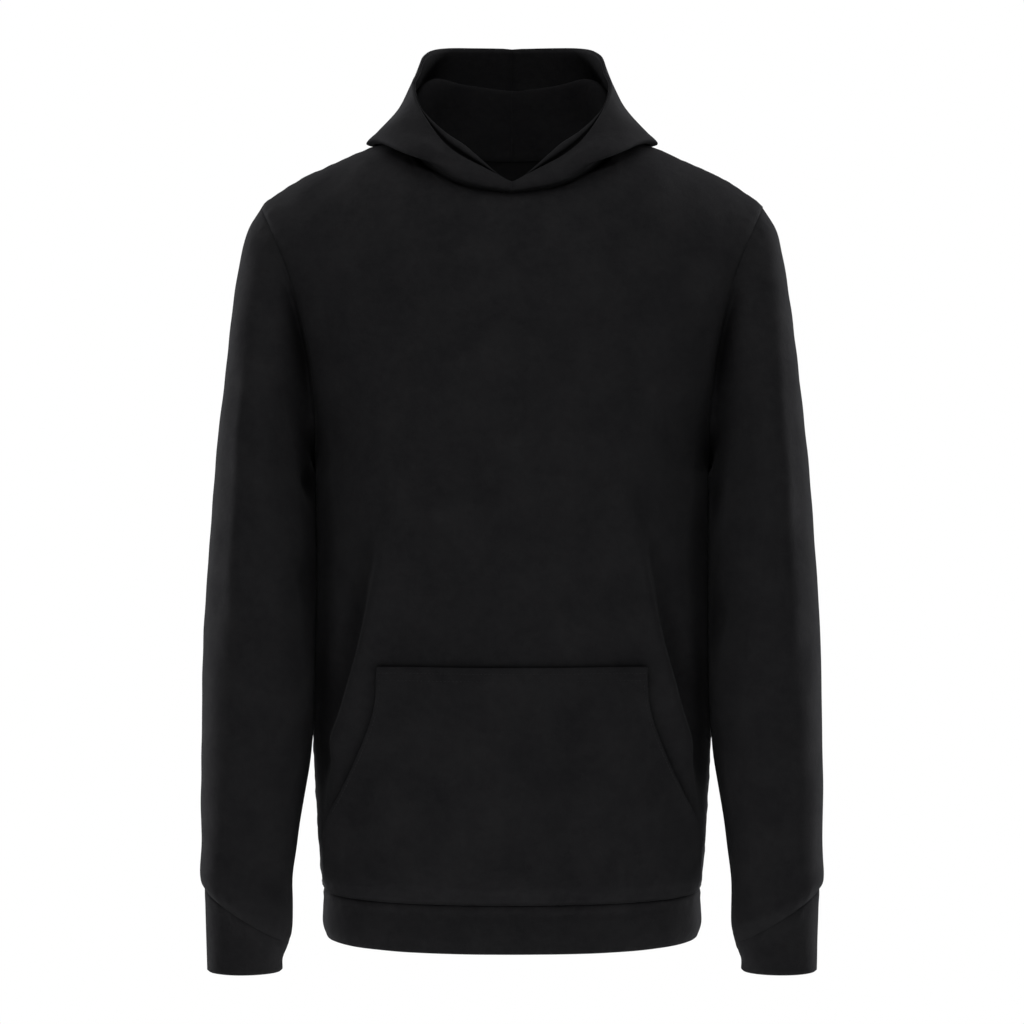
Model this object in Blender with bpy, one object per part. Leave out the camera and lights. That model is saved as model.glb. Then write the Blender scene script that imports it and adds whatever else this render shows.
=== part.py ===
"""Pullover hoodie with a kangaroo pocket, filled out as if worn and hollow all through.

Metres, +Z up. The front faces -Y and the wearer's left is +X. The origin lies in the middle of the
neck, level with the two high points of the shoulders. Every piece is a cloth wall: a grid of outer
points worked out from the sizes below, a second grid one wall thickness inside it, and the rims.
"""

import math

import bpy
import numpy as np

COLLECTION = "pullover_hoodie"

# Cloth
WALL = 0.0020
BAND_WALL = 0.0030
POCKET_WALL = 0.0022
HOOD_HEM_WALL = 0.0012
SEAM_GAP = 0.0003
POCKET_LIFT = 0.0013
MITRE_LIMIT = 0.55

# How finely each piece is divided
HALF_COLUMNS = 13
NECK_COLUMNS = 6
POCKET_ROWS = 8
ABOVE_POCKET_ROWS = 4
BODY_ROWS = POCKET_ROWS + ABOVE_POCKET_ROWS
LOWER_ARMHOLE_ROWS = 4
UPPER_ARMHOLE_ROWS = 7
LOW_ROW_CLOSENESS = 0.6
SLEEVE_ROWS = 18
HOOD_STRETCH_ROWS = (1, 2, 2, 3, 2, 2, 3)
HOOD_HEM_ROWS = 3
BAND_ROWS = 3
SECTION_SAMPLES = 721

# Shoulders, neck and armholes
SHOULDER_TIP = (0.2200, -0.0595)
UNDERARM = (0.1725, -0.2850)
ARMHOLE_HALF_DEPTH = 0.066
ARMHOLE_BOW = -0.018
NECK_HALF_WIDTH = 0.095
FRONT_NECK_ANGLE = math.radians(38.0)
BACK_NECK_ANGLE = math.radians(50.5)
NECK_ROUNDNESS = 0.7
UNDERARM_SPREAD = 0.85
YOKE_LEVELLING = 1.35
YOKE_BEND_LIMIT = 3.0
FRONT_RIDGE_RISE = 0.0180
BACK_RIDGE_RISE = 0.0357
RIDGE_TABLE = {
    "x": (0.0950, 0.1285, 0.1480, 0.1680, 0.1870, 0.2010, 0.2140, 0.2200),
    "z": (0.0000, -0.0088, -0.0178, -0.0265, -0.0355, -0.0443, -0.0535, -0.0595),
}

# Body: each row is a level section
HEM_SEAM_Z = -0.6570
HEM_EDGE_Z = -0.6980
SQUARENESS = 0.055
BODY_TABLE = {
    "z": (
        -0.698, -0.690, -0.675, -0.657, -0.647, -0.616, -0.572, -0.519, -0.484, -0.420, -0.350, -0.285, -0.1735
    ),
    "half_width": (
        0.1632, 0.1662, 0.1664, 0.1652, 0.1672, 0.1698, 0.1730, 0.1750, 0.1752, 0.1740, 0.1722, 0.1725, 0.1725
    ),
    "front_depth": (
        0.1180, 0.1190, 0.1200, 0.1210, 0.1240, 0.1270, 0.1300, 0.1315, 0.1320, 0.1320, 0.1310, 0.1300, 0.1250
    ),
    "back_depth": (
        0.1180, 0.1190, 0.1200, 0.1210, 0.1235, 0.1230, 0.1190, 0.1110, 0.1080, 0.1090, 0.1150, 0.1190, 0.1200
    ),
}

# Sleeve and cuff: each row is a ring, by its outermost and innermost points beside the body
# Columns: outer_x, outer_z, inner_x, inner_z, half_depth, y_centre, bow
SLEEVE_RINGS = (
    (0.2320, -0.0800, 0.1750, -0.2895, 0.0690, 0.0000, -0.0120),
    (0.2380, -0.1065, 0.1735, -0.2980, 0.0715, -0.0040, -0.0060),
    (0.2440, -0.1505, 0.1720, -0.3150, 0.0735, -0.0140, 0.0000),
    (0.2495, -0.2115, 0.1705, -0.3425, 0.0725, -0.0290, 0.0020),
    (0.2560, -0.2800, 0.1697, -0.3840, 0.0680, -0.0415, 0.0020),
    (0.2615, -0.3510, 0.1700, -0.4325, 0.0640, -0.0465, 0.0010),
    (0.2655, -0.4195, 0.1705, -0.4815, 0.0600, -0.0490, 0.0000),
    (0.2680, -0.4895, 0.1735, -0.5325, 0.0550, -0.0500, 0.0000),
    (0.2690, -0.5585, 0.1835, -0.5950, 0.0480, -0.0500, 0.0000),
    (0.2685, -0.6105, 0.1900, -0.6450, 0.0430, -0.0490, 0.0000),
    (0.2700, -0.6390, 0.1900, -0.6815, 0.0400, -0.0480, 0.0000),
    (0.2660, -0.6510, 0.1935, -0.6985, 0.0340, -0.0460, 0.0000),
)
CUFF_RINGS = (
    (0.2655, -0.6750, 0.1965, -0.7065, 0.0325, -0.0450, 0.0000),
    (0.2650, -0.6980, 0.1990, -0.7145, 0.0320, -0.0450, 0.0000),
    (0.2645, -0.7225, 0.1990, -0.7225, 0.0310, -0.0450, 0.0000),
)

# Hood: each row is a station round the neck, from the front middle (0) to the back middle (1).
# Behind, its points climb from the neck seam to a crest, drop into the hanging pouch, turn at the
# bottom and rise outside it to the face edge. At the sides they make a soft roll on the shoulder.
# Columns: station, start, crest, drop, bottom, outer, upper, edge
HOOD_STATIONS = (
    (0.00, (0.0000, -0.1000, -0.0545), (0.0000, -0.1015, -0.0533), (0.0000, -0.1023, -0.0520),
     (0.0000, -0.1027, -0.0507), (0.0000, -0.1030, -0.0494), (0.0000, -0.1031, -0.0481),
     (0.0000, -0.1030, -0.0468)),
    (0.16, (0.0470, -0.0935, -0.0445), (0.0470, -0.0965, -0.0425), (0.0450, -0.0980, -0.0400),
     (0.0420, -0.0980, -0.0370), (0.0380, -0.0970, -0.0350), (0.0340, -0.0950, -0.0325),
     (0.0300, -0.0930, -0.0303)),
    (0.32, (0.0795, -0.0620, -0.0185), (0.0815, -0.0660, -0.0160), (0.0860, -0.0710, -0.0180),
     (0.0890, -0.0745, -0.0205), (0.0890, -0.0765, -0.0175), (0.0760, -0.0775, -0.0120),
     (0.0575, -0.0710, -0.0100)),
    (0.46, (0.0945, -0.0190, 0.0030), (0.0985, -0.0220, 0.0050), (0.1060, -0.0260, 0.0010),
     (0.1120, -0.0300, -0.0065), (0.1180, -0.0320, -0.0030), (0.1040, -0.0370, 0.0090),
     (0.0790, -0.0430, 0.0200)),
    (0.60, (0.0960, 0.0180, 0.0080), (0.0995, 0.0180, 0.0120), (0.1100, 0.0160, 0.0075),
     (0.1215, 0.0130, -0.0050), (0.1287, 0.0100, -0.0030), (0.1050, 0.0040, 0.0175),
     (0.0875, -0.0060, 0.0480)),
    (0.70, (0.0860, 0.0370, 0.0140), (0.0865, 0.0405, 0.0430), (0.0990, 0.0440, 0.0220),
     (0.1120, 0.0490, -0.0060), (0.1180, 0.0510, 0.0060), (0.0985, 0.0400, 0.0360),
     (0.0845, 0.0350, 0.0640)),
    (0.80, (0.0670, 0.0630, 0.0180), (0.0695, 0.0670, 0.0610), (0.0780, 0.0830, 0.0250),
     (0.0940, 0.1070, -0.0500), (0.1090, 0.1310, -0.0120), (0.0935, 0.1180, 0.0440),
     (0.0795, 0.0900, 0.0865)),
    (0.90, (0.0400, 0.0750, 0.0190), (0.0410, 0.0810, 0.0565), (0.0450, 0.1000, 0.0060),
     (0.0550, 0.1310, -0.1080), (0.0780, 0.1690, -0.0580), (0.0740, 0.1620, 0.0450),
     (0.0600, 0.1370, 0.0975)),
    (1.00, (0.0000, 0.0790, 0.0190), (0.0000, 0.0860, 0.0512), (0.0000, 0.1040, 0.0000),
     (0.0000, 0.1360, -0.1400), (0.0000, 0.1860, -0.0820), (0.0000, 0.1790, 0.0350),
     (0.0000, 0.1500, 0.0990)),
)

# Kangaroo pocket: half its width at each level, from the hem seam to the top
POCKET_TOP_Z = -0.4575
POCKET_TABLE = {
    "z": (-0.6570, -0.6200, -0.6000, -0.5860, -0.5620, -0.5320, -0.4890, -0.4575),
    "half_width": (0.1600, 0.1600, 0.1588, 0.1550, 0.1435, 0.1297, 0.1150, 0.1133),
}
POCKET_EDGE_COLUMNS = 12
POCKET_EDGE_STEP = 0.0016

# Soft folds of a panel: the line each follows on one half, its height (a trough is below 0) and its width
# Columns: from_x, from_z, to_x, to_z, height, width
FRONT_FOLDS = (
    (0.1040, -0.3500, 0.1410, -0.5150, 0.0095, 0.0200),
    (0.1260, -0.3650, 0.1580, -0.4900, -0.0050, 0.0120),
    (0.1500, -0.5600, 0.1560, -0.6100, 0.0030, 0.0160),
    (0.0600, -0.3300, 0.0950, -0.4500, -0.0018, 0.0240),
    (0.1450, -0.2650, 0.0900, -0.1950, -0.0022, 0.0260),
)
BACK_FOLDS = (
    (0.1100, -0.3000, 0.1540, -0.5200, 0.0034, 0.0210),
    (0.1480, -0.3300, 0.1690, -0.5000, -0.0040, 0.0150),
    (0.0000, -0.5150, 0.1100, -0.5450, -0.0040, 0.0160),
    (0.0000, -0.5750, 0.1250, -0.5950, 0.0035, 0.0170),
    (0.1450, -0.2650, 0.0950, -0.1900, -0.0022, 0.0260),
)
FOLD_FREE_EDGE = 0.030

# Soft folds of a sleeve, by ring and by turn from the outermost line (a whole turn is 1, the front a quarter)
# Columns: ring, turn, rings_long, turns_wide, height
SLEEVE_FOLD_FREE_RINGS = 1.5
SLEEVE_FOLDS = (
    (2.6, 0.330, 1.6, 0.060, -0.0040),
    (6.1, 0.360, 0.8, 0.090, -0.0035),
    (6.9, 0.300, 0.6, 0.110, 0.0025),
    (4.8, 0.130, 2.4, 0.045, -0.0025),
    (7.6, 0.880, 2.2, 0.050, -0.0025),
    (3.0, 0.680, 1.8, 0.060, -0.0035),
)

# Colours as linear values
CLOTH_COLOUR = (0.0100, 0.0100, 0.0110, 1.0)
BAND_COLOUR = (0.0085, 0.0085, 0.0095, 1.0)


def spline(knots, values, at):
    """The smooth curve through values at rising knots, read at the places at."""
    knots = np.asarray(knots, float)
    values = np.asarray(values, float)
    at = np.clip(np.asarray(at, float), knots[0], knots[-1])
    slopes = np.gradient(values, knots, axis=0)
    low = np.clip(np.searchsorted(knots, at, side="right") - 1, 0, len(knots) - 2)
    span = knots[low + 1] - knots[low]
    part = (at - knots[low]) / span
    if values.ndim > 1:
        extra = (1,) * (values.ndim - 1)
        span = span.reshape(span.shape + extra)
        part = part.reshape(part.shape + extra)
    ease = part * part * (3 - 2 * part)
    start = part * (1 - part) ** 2 * span * slopes[low]
    end = part * part * (1 - part) * span * slopes[low + 1]
    return values[low] * (1 - ease) + values[low + 1] * ease + start - end


def unit(vectors):
    """The vectors, each at length one."""
    return vectors / np.linalg.norm(vectors, axis=-1, keepdims=True)


def grid_normals(grid, wrap):
    """Unit normals of a grid of rows and columns. The last column meets the first where wrap is true."""
    up = np.gradient(grid, axis=0)
    if wrap:
        across = np.roll(grid, -1, axis=1) - np.roll(grid, 1, axis=1)
    else:
        across = np.gradient(grid, axis=1)
    return unit(np.cross(across, up))


def mitre(mine, others):
    """The way a wall's edge goes inwards where two pieces meet, so that both walls keep their thickness."""
    middle = unit(mine + others)
    lean = np.clip(np.sum(middle * mine, axis=-1, keepdims=True), MITRE_LIMIT, 1.0)
    return middle / lean


def without(vectors, axis):
    """The vectors laid into the plane across one axis."""
    flat = vectors.copy()
    flat[..., axis] = 0.0
    return unit(flat)


def shorter_diagonals(grid, wrap):
    """For each cell of a grid, whether its shorter diagonal rises towards the next column."""
    beside = np.roll(grid, -1, axis=1)
    if not wrap:
        grid, beside = grid[:, :-1], beside[:, :-1]
    rising = np.linalg.norm(beside[1:] - grid[:-1], axis=-1)
    falling = np.linalg.norm(beside[:-1] - grid[1:], axis=-1)
    return rising <= falling


def panel_diagonals(grid):
    """The shorter diagonals of a whole panel, the same on both halves."""
    left = shorter_diagonals(grid[:, HALF_COLUMNS:], False)
    return np.concatenate([~left[:, ::-1], left], axis=1)


def wall_mesh(name, outer, inner, wrap, rising):
    """A closed cloth wall between two grids, each cell cut along the same diagonal on both sides."""
    rows, columns = outer.shape[:2]
    count = rows * columns
    steps = columns if wrap else columns - 1

    points = np.concatenate([outer.reshape(-1, 3), inner.reshape(-1, 3)])
    faces = []

    def at(row, column, layer):
        return layer * count + row * columns + column % columns

    def add_rim(*corners):
        first, second, third, fourth = points[list(corners)]
        if np.linalg.norm(third - first) > np.linalg.norm(fourth - second):
            corners = corners[1:] + corners[:1]
        faces.append(corners[:3])
        faces.append((corners[0], *corners[2:]))

    for row in range(rows - 1):
        for column in range(steps):
            ring = [(row, column), (row, column + 1), (row + 1, column + 1), (row + 1, column)]
            if not rising[row, column]:
                ring = ring[1:] + ring[:1]
            for corners in (ring[:3], [ring[0], *ring[2:]]):
                faces.append([at(*corner, 0) for corner in corners])
                faces.append([at(*corner, 1) for corner in reversed(corners)])
    for column in range(steps):
        last = rows - 1
        add_rim(at(0, column, 0), at(0, column, 1), at(0, column + 1, 1), at(0, column + 1, 0))
        add_rim(at(last, column + 1, 0), at(last, column + 1, 1), at(last, column, 1), at(last, column, 0))
    if not wrap:
        for row in range(rows - 1):
            last = columns - 1
            add_rim(at(row, 0, 0), at(row + 1, 0, 0), at(row + 1, 0, 1), at(row, 0, 1))
            add_rim(at(row, last, 0), at(row, last, 1), at(row + 1, last, 1), at(row + 1, last, 0))
    mesh = bpy.data.meshes.new(name)
    mesh.from_pydata(points.tolist(), [], faces)
    mesh.shade_smooth()
    return mesh


def cloth_material(name, colour):
    """Matt cloth of one colour."""
    material = bpy.data.materials.new(name)
    material.use_nodes = True
    shader = material.node_tree.nodes["Principled BSDF"]
    shader.inputs["Base Color"].default_value = colour
    shader.inputs["Roughness"].default_value = 0.92
    shader.inputs["Metallic"].default_value = 0.0
    material.diffuse_color = colour
    return material


def add_wall(collection, name, grids, wrap, colour, mirrored=False, rising=None):
    """One piece of cloth as an object. A mirrored piece is turned over to the wearer's other side."""
    outer, inner = grids
    if rising is None:
        rising = shorter_diagonals(outer, wrap)
    if mirrored:
        outer = outer[:, ::-1] * (-1.0, 1.0, 1.0)
        inner = inner[:, ::-1] * (-1.0, 1.0, 1.0)
        rising = ~np.roll(rising, 1, axis=1)[:, ::-1] if wrap else ~rising[:, ::-1]
    mesh = wall_mesh(name, outer, inner, wrap, rising)
    mesh.materials.append(cloth_material(name, colour))
    piece = bpy.data.objects.new(name, mesh)
    collection.objects.link(piece)
    return piece


def fold_heights(points, folds):
    """How far a panel's folds lift each of its points. They fade out towards the panel's sides."""
    place = np.stack([np.abs(points[..., 0]), points[..., 2]], axis=-1)
    height = np.zeros(points.shape[:-1])
    for from_x, from_z, to_x, to_z, top, width in folds:
        start = np.array([from_x, from_z])
        way = np.array([to_x, to_z]) - start
        part = (place - start) @ way / (way @ way)
        nearest = start + np.clip(part, 0, 1)[..., None] * way
        height += top * np.exp(-np.sum((place - nearest) ** 2, axis=-1) / width ** 2)
    return height


def edge_distance(grid):
    """How far each point of a half panel lies from its side edge, its top and its bottom."""
    rims = np.concatenate([grid[:, -1], grid[-1], grid[0]])
    return np.min(np.linalg.norm(grid[:, :, None] - rims, axis=-1), axis=-1)


def folded_half(half, side, folds):
    """A half panel with its soft folds."""
    calm = np.clip(edge_distance(half) / FOLD_FREE_EDGE, 0, 1)
    lift = fold_heights(half, folds) * calm * calm * (3 - 2 * calm)
    return half + lift[..., None] * left_normals(half, side)


def armhole_point(turn, side):
    """A point of the left armhole. Turn runs from 0 at the shoulder tip to pi at the underarm."""
    tip = np.array([SHOULDER_TIP[0], 0.0, SHOULDER_TIP[1]])
    low = np.array([UNDERARM[0], 0.0, UNDERARM[1]])
    point = (tip + low) / 2 + (tip - low) / 2 * math.cos(turn)
    point[0] += ARMHOLE_BOW * math.sin(turn) ** 2
    point[1] = side * ARMHOLE_HALF_DEPTH * math.sin(turn)
    return point


def section_point(half_width, depth, turn):
    """A point of a level section of the body, from the middle (0) to the side (a quarter turn)."""
    square = 1 + SQUARENESS * math.sin(2 * turn) ** 2
    return half_width * math.sin(turn) * square, depth * math.cos(turn) * square


def section_end(depth, end_x, end_y):
    """The turn and the half width of the section that ends at a given point."""
    turns = np.linspace(0.0, math.pi / 2, SECTION_SAMPLES)
    reach = depth * np.cos(turns) * (1 + SQUARENESS * np.sin(2 * turns) ** 2)
    turn = float(np.interp(-end_y, -reach, turns))
    square = 1 + SQUARENESS * math.sin(2 * turn) ** 2
    return turn, end_x / (math.sin(turn) * square)


def lower_turn(row):
    """Where a row meets the armhole below its foremost point, from pi at the underarm (row 0)."""
    return math.pi - math.pi / 2 * (row / LOWER_ARMHOLE_ROWS) ** UNDERARM_SPREAD


def column_place(column, row):
    """How far round from the middle a column lies. Columns gather below the high point of the shoulder."""
    even = column / HALF_COLUMNS
    if column >= NECK_COLUMNS:
        return even
    gathered = NECK_COLUMNS / HALF_COLUMNS * math.sin(math.pi / 2 * column / NECK_COLUMNS)
    share = row / (BODY_ROWS + LOWER_ARMHOLE_ROWS)
    return even * (1 - share) + gathered * share


def neck_angle(column, lowest):
    """How far round the shoulder a column runs before it meets the neckline."""
    if column >= NECK_COLUMNS:
        return math.pi / 2
    across = math.cos(math.pi / 2 * column / NECK_COLUMNS) ** NECK_ROUNDNESS
    return math.pi / 2 - (math.pi / 2 - lowest) * across


def arch_angle(column, row, lowest):
    """How far up its arch a column is at a row of the yoke. Rows start level and end on the neckline."""
    part = row / UPPER_ARMHOLE_ROWS
    short = math.pi / 2 - neck_angle(column, lowest)
    if column >= NECK_COLUMNS:
        return math.pi / 2 * part
    bend = min(YOKE_BEND_LIMIT, YOKE_LEVELLING / short)
    return math.pi / 2 * part - short * part ** bend


def ridge_point(column, rise):
    """The top of a column's arch: x and z of the shoulder line, or of the arch that the neck cuts off."""
    if column >= NECK_COLUMNS:
        step = (column - NECK_COLUMNS) / (HALF_COLUMNS - NECK_COLUMNS)
        x = NECK_HALF_WIDTH + (SHOULDER_TIP[0] - NECK_HALF_WIDTH) * step
        return x, float(spline(RIDGE_TABLE["x"], RIDGE_TABLE["z"], x))
    x = NECK_HALF_WIDTH * math.sin(math.pi / 2 * column / NECK_COLUMNS)
    return x, rise * (1 - (x / NECK_HALF_WIDTH) ** 2)


def half_panel(side, depth_column, rise, neck_lowest):
    """Outer points of the wearer's left half of the front (side -1) or back (side 1), rows upwards."""
    columns = range(HALF_COLUMNS + 1)
    rows = []
    for row in range(BODY_ROWS + 1):
        z = body_level(row)
        half_width = float(spline(BODY_TABLE["z"], BODY_TABLE["half_width"], z))
        depth = float(spline(BODY_TABLE["z"], BODY_TABLE[depth_column], z))
        line = []
        for column in columns:
            x, y = section_point(half_width, depth, math.pi / 2 * column_place(column, row))
            line.append((x, side * y, z))
        rows.append(line)
    for row in range(1, LOWER_ARMHOLE_ROWS + 1):
        edge = armhole_point(lower_turn(row), side)
        depth = float(spline(BODY_TABLE["z"], BODY_TABLE[depth_column], edge[2]))
        last_turn, half_width = section_end(depth, edge[0], abs(edge[1]))
        line = []
        for column in columns:
            x, y = section_point(half_width, depth, last_turn * column_place(column, BODY_ROWS + row))
            line.append((x, side * y, edge[2]))
        rows.append(line)
    base = rows[-1]
    tip_x = SHOULDER_TIP[0]
    front_x = armhole_point(math.pi / 2, side)[0]
    for row in range(1, UPPER_ARMHOLE_ROWS + 1):
        line = []
        for column in columns:
            angle = arch_angle(column, row, neck_lowest)
            ridge_x, ridge_z = ridge_point(column, rise)
            base_x, base_y, base_z = base[column]
            lean = (tip_x - armhole_point(math.pi / 2 - angle, side)[0]) / (tip_x - front_x)
            x = ridge_x + (base_x - ridge_x) * lean
            y = base_y * math.cos(angle)
            line.append((x, y, base_z + (ridge_z - base_z) * math.sin(angle)))
        rows.append(line)
    return np.array(rows)


def body_level(row):
    """The height of a row of the body. One row runs along the pocket's top, and one meets the underarm."""
    if row <= POCKET_ROWS:
        part = row / POCKET_ROWS
        share = part * (LOW_ROW_CLOSENESS + (1 - LOW_ROW_CLOSENESS) * part)
        return HEM_SEAM_Z + (POCKET_TOP_Z - HEM_SEAM_Z) * share
    part = (row - POCKET_ROWS) / ABOVE_POCKET_ROWS
    return POCKET_TOP_Z + (UNDERARM[1] - POCKET_TOP_Z) * part


def whole_panel(half, side):
    """Both halves of a panel as one grid whose normals point outwards."""
    mirrored = half[:, :0:-1] * (-1.0, 1.0, 1.0)
    grid = np.concatenate([mirrored, half], axis=1)
    return grid if side < 0 else grid[:, ::-1]


def left_normals(half, side):
    """Outward normals of a panel's left half, worked out on the whole panel."""
    normals = grid_normals(whole_panel(half, side), False)
    return normals[:, HALF_COLUMNS:] if side < 0 else normals[:, HALF_COLUMNS::-1]


def ring_points(ring, turns):
    """A ring of the left sleeve, from its outermost point round the front, the inside and the back."""
    outer_x, outer_z, inner_x, inner_z, half_depth, y_centre, bow = ring
    reach = np.cos(turns)
    x = (outer_x + inner_x) / 2 + (outer_x - inner_x) / 2 * reach + bow * np.sin(turns) ** 2
    y = y_centre - half_depth * np.sin(turns)
    z = (outer_z + inner_z) / 2 + (outer_z - inner_z) / 2 * reach
    return np.stack([x, y, z], axis=-1)


def ring_axis(ring):
    """The way across a ring's plane, towards the hand."""
    outer_x, outer_z, inner_x, inner_z = ring[:4]
    return unit(np.array([outer_z - inner_z, 0.0, inner_x - outer_x]))


def armhole_turns():
    """The turns of the sleeve's columns, which meet the rows of the front and the back."""
    upper = [math.pi / 2 * row / UPPER_ARMHOLE_ROWS for row in range(UPPER_ARMHOLE_ROWS)]
    lower = [lower_turn(row) for row in range(LOWER_ARMHOLE_ROWS, 0, -1)]
    front = np.array(upper + lower)
    return np.concatenate([front, [math.pi], 2 * math.pi - front[:0:-1]])


def sleeve_grid():
    """Outer points of the left sleeve, rows from the armhole to the cuff, and its last ring."""
    armhole = (*SHOULDER_TIP, *UNDERARM, ARMHOLE_HALF_DEPTH, 0.0, ARMHOLE_BOW)
    rings = np.array([armhole, *SLEEVE_RINGS])
    places = np.linspace(0, len(rings) - 1, SLEEVE_ROWS + 1)
    turns = armhole_turns()
    grid = np.array([ring_points(ring, turns) for ring in spline(np.arange(len(rings)), rings, places)])
    lift = np.zeros(grid.shape[:2])
    for ring, turn, rings_long, turns_wide, height in SLEEVE_FOLDS:
        along = (places[:, None] - ring) / rings_long
        around = (turns[None, :] / (2 * math.pi) - turn) / turns_wide
        lift += height * np.exp(-along ** 2 - around ** 2)
    calm = np.clip(np.minimum(places, len(rings) - 1 - places) / SLEEVE_FOLD_FREE_RINGS, 0, 1)
    return grid + (lift * calm[:, None])[..., None] * grid_normals(grid, True), rings[-1]


def cuff_grid(last_ring):
    """Outer points of the left cuff, rows from the sleeve to the hand."""
    gap = SEAM_GAP * ring_axis(last_ring)
    first = np.array(last_ring)
    first[[0, 2]] += gap[0]
    first[[1, 3]] += gap[2]
    rings = [first, *map(np.array, CUFF_RINGS)]
    return np.array([ring_points(ring, armhole_turns()) for ring in rings])


def hood_grid(neck_seam, places_round):
    """Outer points of the left hood panel, rows from the neck seam to the face edge."""
    stations = [row[0] for row in HOOD_STATIONS]
    named = np.array([row[1:] for row in HOOD_STATIONS])
    guides = spline(stations, named, places_round)
    places = [0.0]
    for stretch, rows in enumerate(HOOD_STRETCH_ROWS):
        places += [stretch + (row + 1) / rows for row in range(rows)]
    columns = []
    for start, guide in zip(neck_seam, guides):
        points = np.concatenate([[start], guide])
        steps = np.sqrt(np.linalg.norm(np.diff(points, axis=0), axis=1))
        knots = np.concatenate([[0.0], np.cumsum(steps)])
        columns.append(spline(knots, points, np.interp(places, np.arange(len(knots)), knots)))
    return np.array(columns).transpose(1, 0, 2)


def hem_band_grid():
    """Outer points of the hem band, rows upwards, columns right round from the wearer's right side."""
    rows = []
    for z in np.linspace(HEM_EDGE_Z, HEM_SEAM_Z - SEAM_GAP, BAND_ROWS + 1):
        half_width = float(spline(BODY_TABLE["z"], BODY_TABLE["half_width"], z))
        line = []
        for side, depth_column in ((-1, "front_depth"), (1, "back_depth")):
            depth = float(spline(BODY_TABLE["z"], BODY_TABLE[depth_column], z))
            for column in range(-HALF_COLUMNS, HALF_COLUMNS):
                x, y = section_point(half_width, depth, math.pi / 2 * column / HALF_COLUMNS)
                line.append((-side * x, side * y, z))
        rows.append(line)
    return np.array(rows)


def pocket_grids(front, normals):
    """Outer and inner points of the pocket, on the front panel's own rows and columns and moved out."""
    edge_order = np.arange(-POCKET_EDGE_COLUMNS, POCKET_EDGE_COLUMNS + 1)
    outer = []
    inner = []
    for line, ways in zip(front[:POCKET_ROWS + 1], normals):
        reach = float(spline(POCKET_TABLE["z"], POCKET_TABLE["half_width"], line[0, 2]))
        limit = reach - (POCKET_EDGE_COLUMNS - np.abs(edge_order)) * POCKET_EDGE_STEP
        across = np.clip(line[edge_order + HALF_COLUMNS, 0], -limit, limit)
        point = np.stack([np.interp(across, line[:, 0], line[:, axis]) for axis in range(3)], axis=-1)
        way = unit(np.stack([np.interp(across, line[:, 0], ways[:, axis]) for axis in range(3)], axis=-1))
        inner.append(point + POCKET_LIFT * way)
        outer.append(point + (POCKET_LIFT + POCKET_WALL) * way)
    return np.array(outer), np.array(inner)


def across_seam(edge, middle, ahead, wrap):
    """The way across a seam, in the cloth, from one piece to the next."""
    if wrap:
        along = np.roll(edge, -1, axis=0) - np.roll(edge, 1, axis=0)
    else:
        along = np.gradient(edge, axis=0)
    way = unit(np.cross(along, middle))
    return way * np.sign(np.sum(way * ahead, axis=-1, keepdims=True))


def read_line(points, places):
    """Points on the straight runs between given points, by their places along the list."""
    low = np.minimum(places.astype(int), len(points) - 2)
    part = (places - low)[:, None]
    return points[low] * (1 - part) + points[low + 1] * part


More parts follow.
